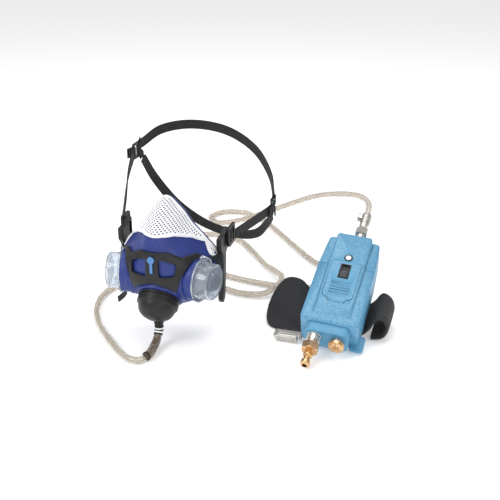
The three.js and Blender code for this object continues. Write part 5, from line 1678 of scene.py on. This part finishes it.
@dataclass
class BeltUnit:
    """The regulator case with its door, switch and indicator, and what is inside it."""

    frame: dict
    finish: Finishes
    repeats: Repeats
    panel_rise: float = 6.0
    panel_foot: float = 12.0
    panel_tilt: float = 3.6
    filter_z: float = -15.5

    def axis_z(self, x: float, y: float) -> Place:
        """Axis that stands out of the case's front at a local point."""
        return Place(UNIT.at(x, y, 0), UNIT.x, UNIT.z, -UNIT.y)

    def panel_place(self, x: float, y: float, z: float) -> Place:
        """Axis that stands out of the leaning panel, at a point of the panel before it leans."""
        a = math.radians(self.panel_tilt)
        run, rise = y - self.panel_foot, z - self.panel_rise
        spot = UNIT.at(x, self.panel_foot + run * math.cos(a) - rise * math.sin(a),
                       0.3 + run * math.sin(a) + rise * math.cos(a))
        along = UNIT.y * math.cos(a) + UNIT.z * math.sin(a)
        out = UNIT.z * math.cos(a) - UNIT.y * math.sin(a)
        return Place(spot, UNIT.x, out, -along)

    def case(self) -> None:
        """Both covers, the door, the collar, the plate and the switch."""
        f = self.finish
        for node, name, material, slot, radius, body in (
                ("front_cover", "case_front", f.case, "case_blue", 0.55, ROOT),
                ("back_cover", "case_back", f.case, "case_blue", 0.55, ROOT),
                ("filter_door", "door_panel", f.case, "case_blue", 0.4, "door"),
                ("base_collar", "collar_block", f.case, "case_blue", 0.9, ROOT),
                ("belt_plate", "belt_plate_body", f.grey, "grey_plastic", 0.4, ROOT),
                ("switch_bezel", "switch_frame", f.black, "black_plastic", 0.3, "door"),
                ("slide_switch", "switch_slider", f.grey, "grey_plastic", 0.25, "slider"),
                ("manifold", "manifold_block", f.nickel, "nickel", 0.4, ROOT)):
            mounted(softened(self.frame, node, name, [material], radius, 3), slot, node, body=body)
        spot = self.panel_place(0, 27.5, self.panel_rise - 1.4)
        pin = Place(spot.origin, -spot.z, spot.x, -spot.y)
        mounted(rod(0.68, -11.4, 11.4, pin, 24).piece("door_pin_rod", [f.steel]), "steel", "door_pin")

    def indicator(self) -> None:
        """White dome in a dark ring on the panel."""
        axis, rise = self.panel_place(0, 84, 0), self.panel_rise
        dome = Shape().turned([(0, 0), (2.5, 0), (2.5, rise + GAP), (3, rise + GAP), (3, rise + 0.9),
                               (2.6, rise + 1.25), (1.9, rise + 1.55), (1, rise + 1.72), (0, rise + 1.78)], axis, 48)
        mounted(dome.piece("indicator_dome", [self.finish.white], Smoothing.MOULDED), "white_plastic",
                "indicator_lens")
        ring = Shape().turned([(3.3, rise + GAP), (4.3, rise + GAP), (4.4, rise + 0.5), (4.2, rise + 0.9),
                               (3.6, rise + 1.05), (3.3, rise + 1.0), (3.3, rise + GAP)], axis, 48)
        mounted(ring.piece("indicator_bezel", [self.finish.black], Smoothing.MOULDED), "black_plastic",
                "indicator_ring")

    def screws(self) -> None:
        """Pan-head screws with a cross recess in the back of the case."""
        for i, (x, y) in enumerate(((-24, 8), (24, 8), (-22, 106), (22, 106))):
            axis = Place(UNIT.at(x, y, -36), UNIT.x, -UNIT.z, UNIT.y)
            solid = Solid(Shape().turned([(0, -15), (1.3, -15), (1.3, -1.6), (2.55, -1.6), (2.6, -1.3), (2.5, -0.9),
                                          (2.0, -0.5), (1.2, -0.32), (0, -0.3)], axis, 48))
            for turn in (0.0, math.pi / 2):
                x_axis = axis.x * math.cos(turn) + axis.z * math.sin(turn)
                z_axis = axis.z * math.cos(turn) - axis.x * math.sin(turn)
                slot = Place(axis.origin, x_axis, axis.y, z_axis)
                solid.act(Cut.REMOVE, Shape().extruded(rounded(-1.5, 1.5, -1.1, 0.4, 0.2, 2), -0.26, 0.26, slot))
            made = finished(evaluated(solid.body, "screw"), f"cover_screw_{i + 1}", [self.finish.steel],
                            Smoothing.MACHINED)
            mounted(made, "steel", f"case_screw_{i + 1}")

    def inside(self) -> None:
        """Pleated filter, its seal, and the pressure regulator with its spring."""
        f = self.finish
        axis = UNIT.moved(0, 0, self.filter_z)
        for name, low, high in (("filter_cap_low", 31, 35), ("filter_cap_high", 66, 70)):
            cap = Shape().turned([(0, low), (11.4, low), (12.2, low + 0.8), (12.2, high - 0.8), (11.4, high),
                                  (0, high)], axis, 72)
            piece = cap.piece(name, [f.white])
            if low == 31:
                mounted(piece, "white_plastic", "filter_cartridge")
            else:
                mounted(piece, "white_plastic")
        core = Shape().turned([(0, 35), (8.6, 35), (8.6, 66), (0, 66)], axis, 48).piece("core", [])
        pleats = self.repeats.ribs_at(axis.moved(0, 50.5, 0), 52, 10.0, (3.4, 31.2, 0.55), f.paper)
        mounted(gathered("filter_pleats", [evaluated(core, "core"), pleats], [f.paper]), "white_plastic")
        seal = Shape().turned([(4, 70.4), (4.4, 70.3), (7.6, 70.3), (8, 70.7), (8, 71.9), (7.6, 72.3), (4.4, 72.3),
                               (4, 71.9), (4, 70.4)], axis, 48)
        mounted(seal.piece("filter_gasket", [f.flap], Smoothing.MOULDED), "soft_rubber", "filter_seal")
        place = self.axis_z(0, 96)
        cup = Shape().turned([(0, -33), (13.4, -33), (14, -32.4), (14, -10.4), (13.6, -10), (12, -10), (12, -29),
                              (0, -29)], place, 84)
        grips = self.repeats.ribs_at(place.moved(0, -24, 0), 40, 13.9, (0.7, 12, 1.2), f.nickel)
        mounted(gathered("regulator_cup", [evaluated(cup.piece("cup", []), "cup"), grips], [f.nickel]), "nickel",
                "regulator_body")
        disc = Shape().turned([(0, -20), (11.6, -20), (11.6, -19.2), (9, -19.2), (8, -18.9), (6.8, -19.2),
                               (0, -19.2)], place, 64)
        mounted(disc.piece("diaphragm_disc", [f.flap], Smoothing.MOULDED), "soft_rubber", "regulator_diaphragm")
        lid = Shape().turned([(0, -9.7), (13.6, -9.7), (14, -9.3), (14, -8.1), (13.6, -7.7), (9, -7.7), (8.6, -8.2),
                              (0, -8.2)], place, 72)
        mounted(lid.piece("regulator_lid", [f.grey]), "grey_plastic", "regulator_cap")
        turns = 4
        helix = []
        for i in range(turns * 28 + 1):
            a = 2 * math.pi * i / 28
            helix.append(UNIT.at(6 * math.cos(a), 96 + 6 * math.sin(a), -18 + 7 * i / (turns * 28)))
        spring = Shape().swept(helix, circle(0.58, 8), carried_ups(helix))
        mounted(spring.piece("regulator_coil", [f.steel], Smoothing.MOULDED), "steel", "regulator_spring")

    def build(self) -> None:
        """Make the whole unit."""
        self.case()
        self.indicator()
        self.screws()
        self.inside()


@dataclass
class Fittings:
    """Air connections at both ends of the unit."""

    frame: dict
    finish: Finishes
    repeats: Repeats
    port_x: float = 12.0
    port_z: float = -12.0

    def hexagon(self, across: float, low: float, high: float, axis: Place) -> Shape:
        """Hexagonal bar along an axis."""
        radius = across / math.sqrt(3)
        rings = [[axis.at(a, y, b) for a, b in circle(radius, 6, math.radians(30))] for y in (low, high)]
        return Shape().capped(rings)

    def chamfered(self, across: float, low: float, high: float, axis: Place) -> Solid:
        """Hexagon with turned corners at both ends."""
        flat, corner = across / 2 - 0.15, across / math.sqrt(3)
        drop = (corner - flat) * 0.55
        cone = Shape().turned([(0, low), (flat, low), (corner, low + drop), (corner, high - drop), (flat, high),
                               (0, high)], axis, 72)
        return Solid(self.hexagon(across, low, high, axis)).act(Cut.KEEP, cone)

    def inlet(self) -> None:
        """Nickel nut with turned grooves, then the brass hexagon and barbed plug."""
        axis = UNIT.moved(-self.port_x, 0, self.port_z)
        nut = [(2.2, -22.3), (5.8, -22.3), (6.6, -21.6), (6.6, -20.6), (6.1, -20.3), (6.1, -19.7), (7, -19.2),
               (7, -16.9), (6.5, -16.6), (6.5, -16.1), (7, -15.8), (7, -13.7), (6.4, -13.2), (6.4, -12.2),
               (6.9, -11.9), (6.9, -11.3), (4, -11.3), (4, 9), (2.2, 9), (2.2, -22.3)]
        body = evaluated(Shape().turned(nut, axis, 84).piece("nut", []), "nut")
        knurl = self.repeats.ribs_at(axis.moved(0, -18.05, 0), 54, 6.85, (0.5, 2.1, 0.5), self.finish.nickel, 0.3)
        mounted(gathered("inlet_nut_body", [body, knurl], [self.finish.nickel]), "nickel", "inlet_nut")
        end, r = -48.6, 4.9
        profile = [(2.6, end), (3.4, end), (3.9, end + 0.5), (r - 0.3, end + 1.0), (r, end + 1.5), (r, end + 5.6),
                   (r - 0.4, end + 6.1), (r - 1.4, end + 7.4), (r - 1.5, end + 7.8), (r - 1.5, end + 9.8),
                   (r - 1.4, end + 10.2), (r - 0.3, end + 11.3), (r, end + 11.8), (r, end + 12.8),
                   (r - 0.7, end + 13.8), (r - 0.8, end + 14.2), (r - 0.8, end + 18.4), (2.6, end + 18.4),
                   (2.6, end)]
        plug = Shape().turned(profile, axis, 84)
        solid = self.chamfered(15.5, -30.6, -22.6, axis).act(Cut.REMOVE, rod(2.6, -50, -20, axis, 40))
        hexagon = finished(evaluated(solid.body, "hexagon"), "hexagon", [], Smoothing.CRISP)
        made = gathered("inlet_plug_body", [evaluated(plug.piece("plug", []), "plug"), evaluated(hexagon, "hex")],
                        [self.finish.brass], Smoothing.CRISP)
        mounted(made, "brass", "inlet_plug")

    def control(self) -> None:
        """Gland, needle and the brass flow knob with its knurled rim and slot."""
        axis = UNIT.moved(self.port_x, 0, self.port_z)
        gland = Shape().turned([(2.1, -15.5), (4.6, -15.5), (5, -15.1), (5, -13.8), (4.6, -13.5), (5, -13.2),
                                (5, -11.3), (4, -11.3), (4, 9), (2.1, 9), (2.1, -15.5)], axis, 60)
        mounted(gland.piece("knob_gland_body", [self.finish.nickel]), "nickel", "knob_gland")
        needle = Shape().turned([(0, -17.8), (1.8, -17.8), (1.8, 7), (1.2, 7.9), (0, 8.6)], axis, 32)
        mounted(needle.piece("needle_body", [self.finish.steel]), "steel", "flow_needle", body="needle")
        end, r = -21.2, 8.2
        profile = [(0, end + 0.5), (3.2, end + 0.45), (3.4, end), (6.2, end), (7.4, end + 0.5), (8.0, end + 1.3),
                   (r - 0.25, end + 1.7), (r - 0.25, -16.6), (7.6, -15.8), (2.1, -15.8), (2.1, end + 2),
                   (0, end + 2)]
        solid = Solid(Shape().turned(profile, axis, 84))
        slot = Shape().extruded(rounded(-0.5, 0.5, end - 1, end + 0.75, 0.1, 2), 2.0, 7.4, axis)
        solid.act(Cut.REMOVE, slot)
        ribs = self.repeats.ribs_at(axis.moved(0, -18.05, 0), 64, r - 0.3, (0.5, 2.6, 0.5), self.finish.brass)
        mounted(gathered("flow_knob_body", [evaluated(solid.body, "knob"), ribs], [self.finish.brass]), "brass",
                "flow_knob", body="knob")

    def outlet(self) -> None:
        """Nickel stem, hexagon and ferrule with the worm clamp over the hose end."""
        axis, f = UNIT.moved(3, 0, -6), self.finish
        stem = Shape().turned([(1.6, 112), (4.5, 112), (4.5, 121), (4.1, 121.4), (4.1, 122.2), (4.5, 122.6),
                               (4.5, 128.6), (4.1, 129), (3, 129), (3, 159), (1.6, 159), (1.6, 112)], axis, 60)
        mounted(stem.piece("outlet_stem", [f.nickel]), "nickel", "outlet_fitting")
        solid = self.chamfered(12.4, 129.3, 138, axis).act(Cut.REMOVE, rod(3.3, 120, 150, axis, 48))
        ferrule = Shape().turned([(3.3, 137.6), (5.2, 137.6), (5.2, 139), (4.7, 139.5), (4.7, 140.5), (5.2, 141),
                                  (5.2, 146), (4.9, 146.7), (3.3, 146.7), (3.3, 137.6)], axis, 60)
        made = gathered("outlet_nut_body", [evaluated(solid.body, "hex"),
                                            evaluated(ferrule.piece("ferrule", []), "ferrule")], [f.nickel],
                        Smoothing.CRISP)
        mounted(made, "nickel", "outlet_nut")
        band = softened(self.frame, "hose_clamp", "band_core", [f.steel], 0.3, 2)
        slots = self.repeats.ribs_at(axis.moved(0, 154, 0), 30, 5.38, (0.25, 7.0, 0.55), f.steel, 0.25)
        made = gathered("worm_clamp_band", [evaluated(band, "band"), slots], [f.steel])
        mounted(made, "steel", "hose_clamp")
        screw_axis = UNIT.moved(-4, 154, -2)
        head = Solid(Shape().turned([(0, -4.5), (0.9, -4.5), (1.2, -4.2), (1.2, 4.1), (0.9, 4.5), (0, 4.5)],
                                    screw_axis, 36))
        head.act(Cut.REMOVE, Shape().extruded(rounded(-0.18, 0.18, 3.9, 5.2, 0.05, 1), -2, 2, screw_axis))
        made = finished(evaluated(head.body, "worm"), "worm_screw", [f.steel], Smoothing.MACHINED)
        mounted(made, "steel", "clamp_screw")

    def build(self) -> None:
        """Make every fitting."""
        self.inlet()
        self.control()
        self.outlet()


# ------------------------------------------------------------------ waist belt


@dataclass
class WaistBelt:
    """The padded belt that passes behind the unit, with its frame buckle and roller."""

    frame: dict
    finish: Finishes
    repeats: Repeats
    thickness: float = 3.6
    spot: Triple = (124.0, -3.6, -96.6)

    def edges(self, steps: int) -> tuple[list[Vector], list[Vector]]:
        """Both edges of the belt, with as many points in each."""
        far = [(112, 9, -97.4), (97, 18, -97.4), (90, 42, -93), (95, 58, -76), (107, 62, -62), (122, 62, -62),
               (134, 60, -72), (146, 58, -80), (170, 58, -83), (194, 58, -83), (204, 58, -76), (213, 58, -65),
               (221, 58, -70), (224, 58, -82), (218, 58, -94), (206, 58, -97.4)]
        near = [(137, 7, -97.4), (136, 10, -97.4), (135, 12.5, -96.6), (135, 14, -95), (136, 16, -94.4),
                (138, 17, -94.4), (142, 17, -94.8), (150, 16, -95.4), (170, 15, -95.6), (194, 15, -95.6),
                (203, 15, -88), (212, 15, -74), (219, 15, -75), (223, 15, -84), (218, 15, -94), (206, 15, -97.4)]
        return smooth_path(far, steps), smooth_path(near, steps)

    def belt(self) -> None:
        """Padded cloth with a bound edge and a row of stitches inside each edge."""
        far, near = self.edges(10)
        shares = [0.0, 0.012, 0.03, 0.055, 0.085, 0.10, 0.12, 0.17, 0.26, 0.38, 0.5, 0.62, 0.74, 0.83, 0.88, 0.90,
                  0.915, 0.945, 0.97, 0.988, 1.0]
        rings, seams = [], ([], [])
        for i, (a, b) in enumerate(zip(far, near)):
            ahead = ((far[min(i + 1, len(far) - 1)] - far[max(i - 1, 0)]).normalized()
                     + (near[min(i + 1, len(near) - 1)] - near[max(i - 1, 0)]).normalized()).normalized()
            face = ahead.cross(b - a).normalized()
            ring = []
            for side in (1, -1):
                for share in (shares if side == 1 else shares[::-1]):
                    edge = min(share, 1 - share)
                    full = 0.5 * self.thickness
                    if edge < 0.012:
                        lift = full * 0.45
                    elif edge < 0.09:
                        lift = full * (0.86 if edge > 0.03 else 0.78)
                    elif edge < 0.11:
                        lift = full * 0.62
                    else:
                        lift = full * (0.86 + 0.14 * math.sin(math.pi * share))
                    ring.append(a.lerp(b, share) + face * lift * side)
            rings.append(ring)
            for seam, share in zip(seams, (0.10, 0.90)):
                seam.append(a.lerp(b, share) + face * self.thickness * 0.34)
        shape = Shape().capped(rings)
        body = shape.piece("belt_cloth", [self.finish.padding], Smoothing.MOULDED)
        fine = body.modifiers.new("fine", "SUBSURF")
        fine.levels = fine.render_levels = 1
        meshes = [evaluated(body, "belt")]
        for seam in seams:
            meshes.append(self.repeats.stitches_at(seam[4:-4], 3.4, (0.5, 0.5, 2.3), self.finish.stitch))
        made = gathered("belt_cloth", meshes, [self.finish.padding], Smoothing.MOULDED)
        mounted(made, "black_webbing", "belt")

    def build(self) -> None:
        """Make the belt, its buckle frame and its roller."""
        self.belt()
        mounted(softened(self.frame, "belt_buckle", "buckle_frame", [self.finish.steel], 0.6, 3), "steel",
                "belt_buckle")
        x, y, z = self.spot
        axis = facing(Vector((x, y - 5.4, z + 1.1)), Vector((1, 0, 0)))
        roller = Shape().turned([(1.6, -11), (3.5, -11), (4.2, -10.5), (4.4, -9.9), (4.4, -9.2), (4.15, -8.9),
                                 (4.15, 8.9), (4.4, 9.2), (4.4, 9.9), (4.2, 10.5), (3.5, 11), (1.6, 11),
                                 (1.6, -11)], axis, 64)
        mounted(roller.piece("buckle_roller_tube", [self.finish.steel], Smoothing.MACHINED), "steel",
                "buckle_roller", body="roller")


# ------------------------------------------------------------------ studio


@dataclass(frozen=True)
class Studio:
    """Floor, lights and camera."""

    eye: Triple = (0.29353, -0.73820, 0.33627)
    right: Triple = (0.96126, 0.27564, 0.0)
    up: Triple = (-0.11211, 0.39098, 0.91358)
    back: Triple = (0.2518, -0.8782, 0.4067)
    lens: float = 59.98

    def camera(self) -> None:
        """Camera at its place."""
        data = bpy.data.cameras.new("camera")
        data.lens = self.lens
        data.sensor_width = 36.0
        data.clip_start = 0.02
        made = bpy.data.objects.new("camera", data)
        turn = Matrix((self.right, self.up, self.back)).transposed().to_4x4()
        made.matrix_world = Matrix.Translation(self.eye) @ turn
        bpy.context.scene.collection.objects.link(made)
        bpy.context.scene.camera = made

    def floor(self, height: float) -> None:
        """Plain pale floor just under the lowest piece."""
        mesh = bpy.data.meshes.new("floor")
        mesh.from_pydata([(-6, -6, height), (6, -6, height), (6, 6, height), (-6, 6, height)], [], [(0, 1, 2, 3)])
        bench = Bench("pale_floor")
        bench.put(Base_Color=rgba((0.93, 0.93, 0.925)), Roughness=0.85, Emission_Color=WHITE, Emission_Strength=0.28)
        mesh.materials.append(bench.material)
        made = bpy.data.objects.new("floor", mesh)
        bpy.context.scene.collection.objects.link(made)
        made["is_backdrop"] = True

    def lights(self) -> None:
        """Soft key from the left and above, a fill from the right and a top light."""
        target = Vector((0.06, 0.0, -0.03))
        for name, spot, size, power in (("key", (-0.75, -0.95, 1.05), 0.8, 12.0), ("fill", (1.1, -0.9, 0.7), 0.9, 5.2),
                                        ("top", (0.1, 0.35, 1.3), 1.0, 8.5), ("front", (0.35, -1.5, 0.25), 0.6, 2.1)):
            data = bpy.data.lights.new(name, "AREA")
            data.energy, data.size = power, size
            made = bpy.data.objects.new(name, data)
            made.location = spot
            made.rotation_euler = (target - Vector(spot)).to_track_quat("-Z", "Y").to_euler()
            bpy.context.scene.collection.objects.link(made)
        world = bpy.data.worlds.new("studio")
        bpy.context.scene.world = world
        world.use_nodes = True
        sky = world.node_tree.nodes["Background"]
        sky.inputs["Color"].default_value = rgba((1.0, 1.0, 1.0))
        sky.inputs["Strength"].default_value = 0.55
        bpy.context.scene.view_settings.view_transform = "Standard"


def corners(box: tuple[Sequence[float], Sequence[float]]) -> list[list[float]]:
    """A box as plain lists of numbers."""
    return [[float(v) for v in point] for point in box]


def main() -> None:
    """Build the whole object in order."""
    logging.basicConfig(level=logging.INFO, format="%(name)s: %(message)s")
    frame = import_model()
    solid_box = corners(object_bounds())
    studio = Studio()
    studio.camera()
    finish, repeats = Finishes(), Repeats()
    AirLine(finish).build()
    Facepiece(frame, finish, repeats).build()
    Valves(frame, finish, repeats).build()
    HeadHarness(frame, finish, repeats).build()
    BeltUnit(frame, finish, repeats).build()
    Fittings(frame, finish, repeats).build()
    WaistBelt(frame, finish, repeats).build()
    studio.floor(solid_box[0][2] - 0.0002)
    studio.lights()


if __name__ == "__main__":
    main()
